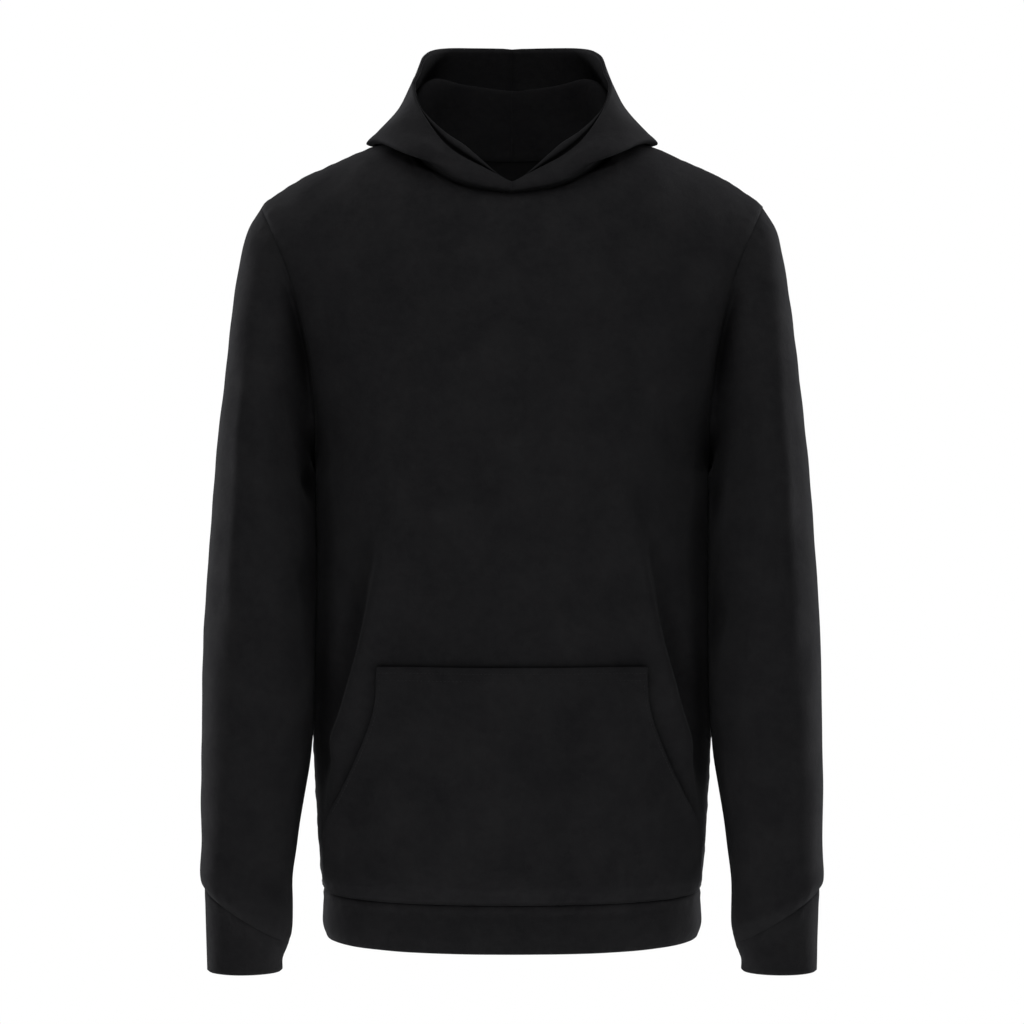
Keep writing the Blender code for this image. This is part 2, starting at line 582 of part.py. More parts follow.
def main():
    """Build every piece of the hoodie."""
    for old in list(bpy.data.objects):
        bpy.data.objects.remove(old, do_unlink=True)
    collection = bpy.data.collections.new(COLLECTION)
    bpy.context.scene.collection.children.link(collection)

    halves = {
        -1: half_panel(-1, "front_depth", FRONT_RIDGE_RISE, FRONT_NECK_ANGLE),
        1: half_panel(1, "back_depth", BACK_RIDGE_RISE, BACK_NECK_ANGLE),
    }
    for side, folds in ((-1, FRONT_FOLDS), (1, BACK_FOLDS)):
        halves[side] = folded_half(halves[side], side, folds)
    normals = {side: left_normals(half, side) for side, half in halves.items()}
    inwards = {}
    for side, normal in normals.items():
        normal[0] = without(normal[0], 2)
        normal[:BODY_ROWS + 1, -1] = without(normal[:BODY_ROWS + 1, -1], 1)
        normal[-1, NECK_COLUMNS:] = without(normal[-1, NECK_COLUMNS:], 1)
        inwards[side] = normal.copy()

    sleeve, last_ring = sleeve_grid()
    sleeve_normals = grid_normals(sleeve, True)
    sleeve_inwards = sleeve_normals.copy()
    top = BODY_ROWS + LOWER_ARMHOLE_ROWS + UPPER_ARMHOLE_ROWS
    rows_of = [(-1, row) for row in range(top, BODY_ROWS - 1, -1)]
    rows_of += [(1, row) for row in range(BODY_ROWS + 1, top)]
    panel_way = np.array([normals[side][row, -1] for side, row in rows_of])
    seam_way = unit(panel_way + sleeve_normals[0])
    step = across_seam(sleeve[0], seam_way, sleeve[1] - sleeve[0], True) * SEAM_GAP / 2
    panel_in = mitre(panel_way, sleeve_normals[0])
    sleeve_inwards[0] = mitre(sleeve_normals[0], panel_way)
    for index, (side, row) in enumerate(rows_of):
        for other in {side, 1} if row in (top, BODY_ROWS) else {side}:
            inwards[other][row, -1] = panel_in[index]
            halves[other][row, -1] -= step[index]
    sleeve[0] += step

    neck_of = [(-1, column) for column in range(NECK_COLUMNS + 1)]
    neck_of += [(1, column) for column in range(NECK_COLUMNS - 1, -1, -1)]
    neck_seam = np.array([halves[side][-1, column] for side, column in neck_of])
    rounds = np.arange(len(neck_of), dtype=float)
    rounds = np.sort(np.concatenate([rounds, rounds[NECK_COLUMNS:-1] + 0.5]))
    hood = hood_grid(read_line(neck_seam, rounds), rounds / (len(neck_of) - 1))
    hood_normals = grid_normals(hood, False)
    hood_normals[:, 0] = without(hood_normals[:, 0], 0)
    hood_normals[:, -1] = without(hood_normals[:, -1], 0)
    hood_inwards = hood_normals.copy()
    panel_way = np.array([normals[side][-1, column] for side, column in neck_of])
    joint = [int(np.flatnonzero(rounds == index)[0]) for index in range(len(neck_of))]
    hood_way = hood_normals[0, joint]
    step = across_seam(neck_seam, unit(panel_way + hood_way), (hood[1] - hood[0])[joint], False)
    step = step * SEAM_GAP / 2
    panel_in = mitre(panel_way, hood_way)
    hood_inwards[0] = read_line(mitre(hood_way, panel_way), rounds)
    for index, (side, column) in enumerate(neck_of):
        for other in (-1, 1) if column == NECK_COLUMNS else (side,):
            inwards[other][-1, column] = panel_in[index]
            halves[other][-1, column] -= step[index]
    hood[0] += read_line(step, rounds)
    hood_inner = hood - WALL * hood_inwards
    for grid in (hood, hood_inner):
        grid[:, [0, -1], 0] = SEAM_GAP / 2

    panels = {}
    for side, name in ((-1, "front"), (1, "back")):
        outer = halves[side]
        inner = outer - WALL * inwards[side]
        for grid in (outer, inner):
            grid[:BODY_ROWS + 1, -1, 1] = side * SEAM_GAP / 2
            grid[-1, NECK_COLUMNS:, 1] = side * SEAM_GAP / 2
        panels[name] = whole_panel(outer, side)
        rising = panel_diagonals(panels[name])
        grids = (panels[name], whole_panel(inner, side))
        add_wall(collection, name, grids, False, CLOTH_COLOUR, rising=rising)

    axis = ring_axis(last_ring)
    sleeve_inwards[-1] = unit(sleeve_inwards[-1] - (sleeve_inwards[-1] @ axis)[:, None] * axis)
    sleeve_inner = sleeve - WALL * sleeve_inwards
    cuff = cuff_grid(last_ring)
    cuff_ways = grid_normals(cuff, True)
    cuff_ways[0] = unit(cuff_ways[0] - (cuff_ways[0] @ axis)[:, None] * axis)
    cuff_inner = cuff - BAND_WALL * cuff_ways
    hem_outer = hood_inner[-HOOD_HEM_ROWS - 1:] - SEAM_GAP * hood_normals[-HOOD_HEM_ROWS - 1:]
    hem_inner = hem_outer - HOOD_HEM_WALL * hood_normals[-HOOD_HEM_ROWS - 1:]
    hood_rising = shorter_diagonals(hood, False)
    for side_name, mirrored in (("left", False), ("right", True)):
        add_wall(collection, f"sleeve_{side_name}", (sleeve, sleeve_inner), True, CLOTH_COLOUR, mirrored)
        add_wall(collection, f"cuff_{side_name}", (cuff, cuff_inner), True, BAND_COLOUR, mirrored)
        add_wall(collection, f"hood_{side_name}", (hood, hood_inner), False, CLOTH_COLOUR, mirrored)
        add_wall(
            collection, f"hood_hem_{side_name}", (hem_outer, hem_inner), False, CLOTH_COLOUR, mirrored,
            hood_rising[-HOOD_HEM_ROWS:],
        )

    front = panels["front"]
    margin = HALF_COLUMNS - POCKET_EDGE_COLUMNS
    pocket_rising = panel_diagonals(front)[:POCKET_ROWS, margin:-margin]
    pocket = pocket_grids(front, grid_normals(front, False))
    add_wall(collection, "pocket", pocket, False, CLOTH_COLOUR, rising=pocket_rising)

    band = hem_band_grid()
    band_ways = grid_normals(band, True)
    band_ways[-1] = without(band_ways[-1], 2)
    add_wall(collection, "hem_band", (band, band - BAND_WALL * band_ways), True, BAND_COLOUR)


main()
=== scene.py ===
"""Looks of the pullover hoodie: matt black brushed cotton, filled out as if worn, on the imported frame.

Metres, +Z up, the front faces -Y. Each piece of cloth is a fine grid of points on the form of its solid,
given its creases, its seams and a thickness. Stitches lie on those grids.
"""

import math

import bpy
import numpy as np
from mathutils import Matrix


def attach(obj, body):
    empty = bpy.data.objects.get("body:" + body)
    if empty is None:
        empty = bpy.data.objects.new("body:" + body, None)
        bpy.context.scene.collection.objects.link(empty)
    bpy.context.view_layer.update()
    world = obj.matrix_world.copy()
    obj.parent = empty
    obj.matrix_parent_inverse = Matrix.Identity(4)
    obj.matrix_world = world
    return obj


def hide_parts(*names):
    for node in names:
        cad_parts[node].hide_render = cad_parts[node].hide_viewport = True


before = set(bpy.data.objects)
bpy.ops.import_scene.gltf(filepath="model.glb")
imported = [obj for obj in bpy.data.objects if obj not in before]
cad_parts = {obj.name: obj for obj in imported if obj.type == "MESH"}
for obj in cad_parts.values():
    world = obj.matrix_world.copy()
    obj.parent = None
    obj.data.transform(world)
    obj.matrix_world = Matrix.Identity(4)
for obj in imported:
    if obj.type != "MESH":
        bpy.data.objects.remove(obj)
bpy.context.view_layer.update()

BODY = "root"

QUARTER = math.pi / 2
TURN = 2 * math.pi
# Least values, so that nothing is divided by zero
TINY = 1e-6
NO_LENGTH = 1e-12

# ---------------- camera, first of all
CAMERA_DISTANCE = 2.7
CAMERA_HEIGHT = -0.28
CAMERA_TILT = math.radians(1.0)
SENSOR = 36.0
IMAGE_SIDE = 1024
FOCAL_PIXELS = 3068.0

camera_data = bpy.data.cameras.new("camera")
camera_data.sensor_width = SENSOR
camera_data.lens = SENSOR * FOCAL_PIXELS / IMAGE_SIDE
camera = bpy.data.objects.new("camera", camera_data)
camera.location = (0.0, -CAMERA_DISTANCE, CAMERA_HEIGHT)
camera.rotation_euler = (QUARTER - CAMERA_TILT, 0.0, 0.0)
bpy.context.scene.collection.objects.link(camera)
bpy.context.scene.camera = camera

# ---------------- sizes
WALL = 0.0020
BAND_WALL = 0.0030
POCKET_WALL = 0.0018
HOOD_HEM_WALL = 0.0012
POCKET_LIFT = 0.0014

# Counts of the solids' grids, each step of which is cut into this many finer ones
FINE = 6
HALF_COLUMNS = 13
NECK_COLUMNS = 6
POCKET_ROWS = 8
ABOVE_POCKET_ROWS = 4
BODY_ROWS = POCKET_ROWS + ABOVE_POCKET_ROWS
ROW_CROWDING = 0.4
LOWER_ARMHOLE_ROWS = 4
UPPER_ARMHOLE_ROWS = 7
SLEEVE_ROWS = 18
SLEEVE_COLUMNS = 22 * FINE
HOOD_HEM_ROWS = 3
# All rows of the cuffs and of the hem band
CUFF_ROWS = 22
BAND_ROWS = 20

SHOULDER_TIP = (0.2200, -0.0595)
UNDERARM = (0.1725, -0.2850)
NECK_HALF_WIDTH = 0.095
FRONT_NECK_ANGLE = math.radians(38.0)
BACK_NECK_ANGLE = math.radians(50.5)
NECK_ROUNDNESS = 0.7
UNDERARM_SPREAD = 0.85
YOKE_LEVELLING = 1.35
MOST_YOKE_BEND = 3.0
FRONT_RIDGE_RISE = 0.0180
BACK_RIDGE_RISE = 0.0357
RIDGE_TABLE = {
    "x": (0.095, 0.1285, 0.148, 0.168, 0.187, 0.201, 0.214, 0.22),
    "z": (0.0, -0.0088, -0.0178, -0.0265, -0.0355, -0.0443, -0.0535, -0.0595),
}

HEM_SEAM_Z = -0.6570
HEM_EDGE_Z = -0.6980
SQUARENESS = 0.055
BODY_TABLE = {
    "z": (
        -0.698, -0.69, -0.675, -0.657, -0.647, -0.616, -0.572,
        -0.519, -0.484, -0.42, -0.35, -0.285, -0.1735,
    ),
    "half_width": (
        0.1632, 0.1662, 0.1664, 0.1652, 0.1672, 0.1698, 0.173,
        0.175, 0.1752, 0.174, 0.1722, 0.1725, 0.1725,
    ),
    "front_depth": (
        0.118, 0.119, 0.12, 0.121, 0.124, 0.127, 0.13,
        0.1315, 0.132, 0.132, 0.131, 0.13, 0.125,
    ),
    "back_depth": (
        0.118, 0.119, 0.12, 0.121, 0.1235, 0.123, 0.119,
        0.111, 0.108, 0.109, 0.115, 0.119, 0.12,
    ),
}

# Columns: outer_x, outer_z, inner_x, inner_z, half_depth, y_centre, bow
ARMHOLE = (*SHOULDER_TIP, *UNDERARM, 0.066, 0.0, -0.018)
SLEEVE_RINGS = (
    (0.2320, -0.0800, 0.1750, -0.2895, 0.0690, 0.0000, -0.012),
    (0.2380, -0.1065, 0.1735, -0.2980, 0.0715, -0.0040, -0.006),
    (0.2440, -0.1505, 0.1720, -0.3150, 0.0735, -0.0140, 0.000),
    (0.2495, -0.2115, 0.1705, -0.3425, 0.0725, -0.0290, 0.002),
    (0.2560, -0.2800, 0.1697, -0.3840, 0.0680, -0.0415, 0.002),
    (0.2615, -0.3510, 0.1700, -0.4325, 0.0640, -0.0465, 0.001),
    (0.2655, -0.4195, 0.1705, -0.4815, 0.0600, -0.0490, 0.000),
    (0.2680, -0.4895, 0.1735, -0.5325, 0.0550, -0.0500, 0.000),
    (0.2690, -0.5585, 0.1835, -0.5950, 0.0480, -0.0500, 0.000),
    (0.2685, -0.6105, 0.1900, -0.6450, 0.0430, -0.0490, 0.000),
    (0.2700, -0.6390, 0.1900, -0.6815, 0.0400, -0.0480, 0.000),
    (0.2660, -0.6510, 0.1935, -0.6985, 0.0340, -0.0460, 0.000),
)
CUFF_RINGS = (
    (0.2655, -0.6750, 0.1965, -0.7065, 0.0325, -0.045, 0.0),
    (0.2650, -0.6980, 0.1990, -0.7145, 0.0320, -0.045, 0.0),
    (0.2645, -0.7225, 0.1990, -0.7225, 0.0310, -0.045, 0.0),
)

HOOD_STRETCH_ROWS = (1, 2, 2, 3, 2, 2, 3)
# Columns: station, start, crest, drop, bottom, outer, upper, edge
HOOD_STATIONS = (
    (0.0, (0.0, -0.1, -0.0545), (0.0, -0.1015, -0.0533), (0.0, -0.1023, -0.052),
     (0.0, -0.1027, -0.0507), (0.0, -0.103, -0.0494), (0.0, -0.1031, -0.0481),
     (0.0, -0.103, -0.0468)),
    (0.16, (0.047, -0.0935, -0.0445), (0.047, -0.0965, -0.0425), (0.045, -0.098, -0.04),
     (0.042, -0.098, -0.037), (0.038, -0.097, -0.035), (0.034, -0.095, -0.0325),
     (0.03, -0.093, -0.0303)),
    (0.32, (0.0795, -0.062, -0.0185), (0.0815, -0.066, -0.016), (0.086, -0.071, -0.018),
     (0.089, -0.0745, -0.0205), (0.089, -0.0765, -0.0175), (0.076, -0.0775, -0.012),
     (0.0575, -0.071, -0.01)),
    (0.46, (0.0945, -0.019, 0.003), (0.0985, -0.022, 0.005), (0.106, -0.026, 0.001),
     (0.112, -0.03, -0.0065), (0.118, -0.032, -0.003), (0.104, -0.037, 0.009),
     (0.079, -0.043, 0.02)),
    (0.6, (0.096, 0.018, 0.008), (0.0995, 0.018, 0.012), (0.11, 0.016, 0.0075),
     (0.1215, 0.013, -0.005), (0.1287, 0.01, -0.003), (0.105, 0.004, 0.0175),
     (0.0875, -0.006, 0.048)),
    (0.7, (0.086, 0.037, 0.014), (0.0865, 0.0405, 0.043), (0.099, 0.044, 0.022),
     (0.112, 0.049, -0.006), (0.118, 0.051, 0.006), (0.0985, 0.04, 0.036),
     (0.0845, 0.035, 0.064)),
    (0.8, (0.067, 0.063, 0.018), (0.0695, 0.067, 0.061), (0.078, 0.083, 0.025),
     (0.094, 0.107, -0.05), (0.109, 0.131, -0.012), (0.0935, 0.118, 0.044),
     (0.0795, 0.09, 0.0865)),
    (0.9, (0.04, 0.075, 0.019), (0.041, 0.081, 0.0565), (0.045, 0.1, 0.006),
     (0.055, 0.131, -0.108), (0.078, 0.169, -0.058), (0.074, 0.162, 0.045),
     (0.06, 0.137, 0.0975)),
    (1.0, (0.0, 0.079, 0.019), (0.0, 0.086, 0.0512), (0.0, 0.104, 0.0),
     (0.0, 0.136, -0.14), (0.0, 0.186, -0.082), (0.0, 0.179, 0.035),
     (0.0, 0.15, 0.099)),
)

POCKET_TOP_Z = -0.4575
POCKET_TABLE = {
    "z": (-0.657, -0.62, -0.6, -0.586, -0.562, -0.532, -0.489, -0.4575),
    "half_width": (0.16, 0.16, 0.1588, 0.155, 0.1435, 0.1297, 0.115, 0.1133),
}

# ---------------- creases
# Folds of both halves. Columns: from_x, from_z, to_x, to_z, height, width (a trough is below 0)
FRONT_FOLDS = (
    (0.104, -0.350, 0.141, -0.515, 0.0095, 0.020),
    (0.126, -0.365, 0.158, -0.490, -0.0050, 0.012),
    (0.150, -0.560, 0.156, -0.610, 0.0030, 0.016),
    (0.060, -0.330, 0.095, -0.450, -0.0018, 0.024),
    (0.145, -0.265, 0.090, -0.195, -0.0022, 0.026),
)
BACK_FOLDS = (
    (0.110, -0.300, 0.154, -0.520, 0.0034, 0.021),
    (0.148, -0.330, 0.169, -0.500, -0.0040, 0.015),
    (0.000, -0.515, 0.110, -0.545, -0.0040, 0.016),
    (0.000, -0.575, 0.125, -0.595, 0.0035, 0.017),
    (0.145, -0.265, 0.095, -0.190, -0.0022, 0.026),
)
# Finer creases of one side each. Columns as above, x over the whole panel
FRONT_CREASES = (
    (-0.148, -0.270, -0.105, -0.225, -0.0010, 0.0080),
    (0.150, -0.275, 0.108, -0.235, -0.0011, 0.0085),
    (-0.154, -0.300, -0.125, -0.275, 0.0009, 0.0070),
    (0.156, -0.308, 0.122, -0.282, 0.0009, 0.0070),
    (-0.118, -0.370, -0.142, -0.455, -0.0011, 0.0090),
    (0.115, -0.360, 0.140, -0.445, -0.0010, 0.0090),
    (-0.030, -0.390, -0.018, -0.445, 0.0007, 0.0120),
    (0.022, -0.370, 0.030, -0.430, -0.0007, 0.0130),
    (-0.150, -0.520, -0.162, -0.605, 0.0010, 0.0090),
    (0.148, -0.530, 0.162, -0.615, 0.0010, 0.0090),
    (-0.120, -0.070, -0.080, -0.090, 0.0009, 0.0100),
    (0.122, -0.072, 0.078, -0.094, 0.0009, 0.0100),
)
BACK_CREASES = (
    (-0.150, -0.265, -0.108, -0.210, -0.0012, 0.009),
    (0.148, -0.260, 0.105, -0.208, -0.0012, 0.009),
    (-0.090, -0.480, 0.020, -0.495, 0.0009, 0.011),
    (0.090, -0.500, 0.005, -0.493, -0.0008, 0.010),
    (-0.120, -0.550, -0.030, -0.560, 0.0010, 0.010),
    (0.125, -0.565, 0.040, -0.552, -0.0010, 0.009),
    (-0.040, -0.300, -0.060, -0.400, 0.0008, 0.018),
    (0.050, -0.310, 0.045, -0.420, -0.0008, 0.018),
)
# The long fold where the front turns to the side: a ridge and the hollow outside it.
# Columns: x, z, height, width
SIDE_RIDGE = (
    (0.0910, -0.2700, 0.0000, 0.0100),
    (0.0965, -0.2980, 0.0019, 0.0100),
    (0.1075, -0.3655, 0.0037, 0.0090),
    (0.1195, -0.4225, 0.0052, 0.0085),
    (0.1305, -0.4615, 0.0060, 0.0085),
    (0.1390, -0.4955, 0.0056, 0.0085),
    (0.1470, -0.5300, 0.0085, 0.0100),
    (0.1500, -0.5600, 0.0075, 0.0100),
    (0.1530, -0.5900, 0.0050, 0.0100),
    (0.1560, -0.6400, 0.0000, 0.0100),
)
SIDE_HOLLOW = (
    (0.098, -0.270, 0.0000, 0.0100),
    (0.106, -0.305, -0.0032, 0.0100),
    (0.119, -0.369, -0.0080, 0.0100),
    (0.133, -0.424, -0.0154, 0.0115),
    (0.144, -0.463, -0.0182, 0.0120),
    (0.152, -0.498, -0.0163, 0.0110),
    (0.158, -0.535, -0.0120, 0.0100),
    (0.163, -0.600, -0.0032, 0.0100),
    (0.165, -0.640, 0.0000, 0.0100),
)
FOLD_SAMPLES = 120
TURN_SAMPLES = 2881
# Columns: side of x, share of the height, shift along z
FRONT_SIDES = ((1, 0.80, 0.0), (-1, 0.74, 0.005))
BACK_SIDES = ((1, 0.50, 0.012), (-1, 0.58, -0.008))
# Columns: ring, turn, rings_long, turns_wide, height
SLEEVE_FOLDS = (
    (2.6, 0.33, 1.6, 0.060, -0.0040),
    (6.1, 0.36, 0.8, 0.090, -0.0035),
    (6.9, 0.30, 0.6, 0.110, 0.0025),
    (4.8, 0.13, 2.4, 0.045, -0.0025),
    (7.6, 0.88, 2.2, 0.050, -0.0025),
    (3.0, 0.68, 1.8, 0.060, -0.0035),
)
SLEEVE_CREASES = (
    (1.6, 0.500, 0.80, 0.060, 0.0034),
    (3.2, 0.425, 0.50, 0.032, -0.0045),
    (5.5, 0.420, 0.40, 0.035, -0.0055),
    (4.5, 0.195, 0.90, 0.035, -0.0022),
    (5.5, 0.235, 0.90, 0.035, -0.0028),
    (6.6, 0.275, 0.90, 0.035, -0.0024),
    (2.0, 0.290, 0.90, 0.030, -0.0010),
    (5.3, 0.210, 0.35, 0.100, -0.0009),
    (6.2, 0.160, 0.30, 0.120, 0.0009),
    (7.2, 0.240, 0.30, 0.110, -0.0010),
    (8.4, 0.180, 0.35, 0.120, -0.0009),
    (9.3, 0.280, 0.35, 0.130, 0.0009),
    (10.3, 0.200, 0.30, 0.150, -0.0012),
    (10.8, 0.340, 0.25, 0.120, 0.0010),
    (6.0, 0.700, 0.40, 0.120, -0.0010),
    (7.4, 0.780, 0.35, 0.110, 0.0010),
    (10.2, 0.740, 0.30, 0.150, -0.0012),
)

# ---------------- shape


def spline(knots, values, at):
    """The smooth curve through values at rising knots, read at the places at."""
    knots = np.asarray(knots, float)
    values = np.asarray(values, float)
    at = np.clip(np.asarray(at, float), knots[0], knots[-1])
    slopes = np.gradient(values, knots, axis=0)
    low = np.clip(np.searchsorted(knots, at, side="right") - 1, 0, len(knots) - 2)
    span = knots[low + 1] - knots[low]
    part = (at - knots[low]) / span
    extra = (1,) * (values.ndim - 1)
    span = span.reshape(span.shape + extra)
    part = part.reshape(part.shape + extra)
    ease = part * part * (3 - 2 * part)
    start = part * (1 - part) ** 2 * span * slopes[low]
    end = part * part * (1 - part) * span * slopes[low + 1]
    return values[low] * (1 - ease) + values[low + 1] * ease + start - end


def unit(vectors):
    """The vectors, each at length one."""
    return vectors / np.maximum(np.linalg.norm(vectors, axis=-1, keepdims=True), NO_LENGTH)


def grid_normals(grid, wrap):
    """Unit normals of a grid of rows and columns. The last column meets the first where wrap is true."""
    up = np.gradient(grid, axis=0)
    if wrap:
        across = np.roll(grid, -1, axis=1) - np.roll(grid, 1, axis=1)
    else:
        across = np.gradient(grid, axis=1)
    return unit(np.cross(across, up))


def lifted(grid, lift, wrap):
    """A grid with each point moved out of the cloth."""
    return grid + lift[..., None] * grid_normals(grid, wrap)


def smoothed(grid, times):
    """An open grid after a few rounds of averaging. Its rims stay."""
    for _ in range(times):
        across = grid.copy()
        across[:, 1:-1] = (grid[:, 2:] + grid[:, :-2]) / 2
        up = across.copy()
        up[1:-1] = (grid[2:] + grid[:-2]) / 2
        mean = (across + up) / 2
        for rim in (np.s_[0], np.s_[-1], np.s_[:, 0], np.s_[:, -1]):
            mean[rim] = grid[rim]
        grid = mean
    return grid


def ring_points(ring, turns):
    """A ring of the left sleeve, from its outermost point (0) round the front, the inside and the back."""
    outer_x, outer_z, inner_x, inner_z, half_depth, y_centre, bow = ring
    reach = np.cos(turns)
    x = (outer_x + inner_x) / 2 + (outer_x - inner_x) / 2 * reach + bow * np.sin(turns) ** 2
    y = y_centre - half_depth * np.sin(turns)
    z = (outer_z + inner_z) / 2 + (outer_z - inner_z) / 2 * reach
    return np.stack([x, y, z], axis=-1)


def armhole_point(turn, side):
    """Points of the left armhole, front (side -1) or back. Turn runs from the shoulder tip to pi below."""
    return ring_points(ARMHOLE, turn) * (1, -side, 1)


def section_point(half_width, depth, turn):
    """Points of a level section of the body, from the middle (0) to the side (a quarter turn)."""
    square = 1 + SQUARENESS * np.sin(2 * turn) ** 2
    return half_width * np.sin(turn) * square, depth * np.cos(turn) * square


def section_end(depth, end_x, end_y):
    """The turn and the half width of the section that ends at a given point."""
    turns = np.linspace(0.0, QUARTER, TURN_SAMPLES)
    turn = np.interp(-end_y, -section_point(1, depth, turns)[1], turns)
    return turn, end_x / section_point(1, depth, turn)[0]


def lower_turn(row):
    """Where a row meets the armhole below its foremost point, from pi at the underarm (row 0)."""
    return math.pi - QUARTER * (row / LOWER_ARMHOLE_ROWS) ** UNDERARM_SPREAD


def body_level(row):
    """The height of a row of the body."""
    if row <= POCKET_ROWS:
        part = row / POCKET_ROWS
        crowded = part * (1 - ROW_CROWDING + ROW_CROWDING * part)
        return HEM_SEAM_Z + (POCKET_TOP_Z - HEM_SEAM_Z) * crowded
    part = (row - POCKET_ROWS) / ABOVE_POCKET_ROWS
    return POCKET_TOP_Z + (UNDERARM[1] - POCKET_TOP_Z) * part


def body_size(name, z):
    """A size of the body's section at a height."""
    return float(spline(BODY_TABLE["z"], BODY_TABLE[name], z))


def column_places(columns, row):
    """How far round from the middle the columns lie. They gather below the high point of the shoulder."""
    even = columns / HALF_COLUMNS
    gathered = NECK_COLUMNS / HALF_COLUMNS * np.sin(QUARTER * np.minimum(columns / NECK_COLUMNS, 1.0))
    share = min(row / (BODY_ROWS + LOWER_ARMHOLE_ROWS), 1.0)
    return np.where(columns < NECK_COLUMNS, even * (1 - share) + gathered * share, even)


def lower_lines(side, depth_column, columns):
    """Lines of points of a half panel, from the hem seam up to the armhole's foremost point."""
    top = BODY_ROWS + LOWER_ARMHOLE_ROWS
    lines = []
    for row in np.linspace(0, top, top * FINE + 1):
        if row <= BODY_ROWS:
            z = body_level(row)
            half_width = body_size("half_width", z)
            depth = body_size(depth_column, z)
            last_turn = QUARTER
        else:
            end_x, end_y, z = armhole_point(lower_turn(row - BODY_ROWS), side)
            depth = body_size(depth_column, z)
            last_turn, half_width = section_end(depth, end_x, abs(end_y))
        x, y = section_point(half_width, depth, last_turn * column_places(columns, row))
        lines.append(np.stack([x, side * y, np.full_like(x, z)], axis=-1))
    return lines


def yoke_lines(base, side, rise, lowest, columns):
    """Lines of points of a half panel above the base line, up to the shoulder ridge and the neck."""
    on_neck = columns < NECK_COLUMNS
    quarter = QUARTER * np.minimum(columns / NECK_COLUMNS, 1.0)
    short = np.where(on_neck, (QUARTER - lowest) * np.maximum(np.cos(quarter), 0) ** NECK_ROUNDNESS, 0.0)
    bend = np.minimum(MOST_YOKE_BEND, YOKE_LEVELLING / np.maximum(short, TINY))
    step = (columns - NECK_COLUMNS) / (HALF_COLUMNS - NECK_COLUMNS)
    shoulder_x = NECK_HALF_WIDTH + (SHOULDER_TIP[0] - NECK_HALF_WIDTH) * step
    neck_x = NECK_HALF_WIDTH * np.sin(quarter)
    ridge_x = np.where(on_neck, neck_x, shoulder_x)
    shoulder_z = spline(RIDGE_TABLE["x"], RIDGE_TABLE["z"], shoulder_x)
    ridge_z = np.where(on_neck, rise * (1 - (neck_x / NECK_HALF_WIDTH) ** 2), shoulder_z)
    front_x = armhole_point(QUARTER, side)[0]
    lines = []
    for part in np.linspace(0, 1, UPPER_ARMHOLE_ROWS * FINE + 1)[1:]:
        angle = QUARTER * part - short * part ** bend
        edge_x = armhole_point(QUARTER - angle, side)[..., 0]
        lean = (SHOULDER_TIP[0] - edge_x) / (SHOULDER_TIP[0] - front_x)
        x = ridge_x + (base[:, 0] - ridge_x) * lean
        y = base[:, 1] * np.cos(angle)
        lines.append(np.stack([x, y, base[:, 2] + (ridge_z - base[:, 2]) * np.sin(angle)], axis=-1))
    return lines


def half_panel(side, depth_column, rise, lowest):
    """Outer points of the wearer's left half of the front (side -1) or back (side 1), rows upwards."""
    columns = np.linspace(0, HALF_COLUMNS, HALF_COLUMNS * FINE + 1)
    lines = lower_lines(side, depth_column, columns)
    return np.array(lines + yoke_lines(lines[-1], side, rise, lowest, columns))


def mirror_grid(grid):
    """A grid turned over to the wearer's other side."""
    return grid[:, ::-1] * (-1.0, 1.0, 1.0)


def whole_panel(half, side):
    """Both halves of a panel as one grid whose normals point outwards."""
    grid = np.concatenate([mirror_grid(half)[:, :-1], half], axis=1)
    return grid if side < 0 else grid[:, ::-1]


def line_lift(points, folds, mirrored):
    """How far folds lift each point of a panel."""
    across = np.abs(points[..., 0]) if mirrored else points[..., 0]
    place = np.stack([across, points[..., 2]], axis=-1)
    height = np.zeros(points.shape[:-1])
    for from_x, from_z, to_x, to_z, top, width in folds:
        start = np.array([from_x, from_z])
        way = np.array([to_x, to_z]) - start
        part = np.clip((place - start) @ way / (way @ way), 0, 1)
        nearest = start + part[..., None] * way
        height += top * np.exp(-np.sum((place - nearest) ** 2, axis=-1) / width ** 2)
    return height


def path_lift(points, path, side, share, shift):
    """How far a long curving fold lifts each point of a panel, on one side of its middle."""
    knots = np.arange(len(path))
    line = spline(knots, np.array(path), np.linspace(0, len(path) - 1, FOLD_SAMPLES))
    place = np.stack([points[..., 0] * side, points[..., 2] - shift], axis=-1)
    gaps = np.sum((place[..., None, :] - line[:, :2]) ** 2, axis=-1)
    nearest = line[np.argmin(gaps, axis=-1)]
    return share * nearest[..., 2] * np.exp(-np.min(gaps, axis=-1) / nearest[..., 3] ** 2)


def tube_grid(rings, rows, turns):
    """Outer points of the left sleeve or cuff, rows towards the hand, and each row's place in the rings."""
    places = np.linspace(0, len(rings) - 1, rows)
    grid = np.array([ring_points(ring, turns) for ring in spline(np.arange(len(rings)), rings, places)])
    return grid, places


def hood_grid(neck_seam, places_round):
    """Outer points of the left hood panel, rows from the neck seam to the face edge."""
    stations = [row[0] for row in HOOD_STATIONS]
    guides = spline(stations, np.array([row[1:] for row in HOOD_STATIONS]), places_round)
    places = [0.0]
    for stretch, rows in enumerate(HOOD_STRETCH_ROWS):
        places += [stretch + (row + 1) / (rows * FINE) for row in range(rows * FINE)]
    columns = []
    for start, guide in zip(neck_seam, guides):
        points = np.concatenate([[start], guide])
        steps = np.sqrt(np.linalg.norm(np.diff(points, axis=0), axis=1))
        knots = np.concatenate([[0.0], np.cumsum(steps)])
        columns.append(spline(knots, points, np.interp(places, np.arange(len(knots)), knots)))
    return np.array(columns).transpose(1, 0, 2)


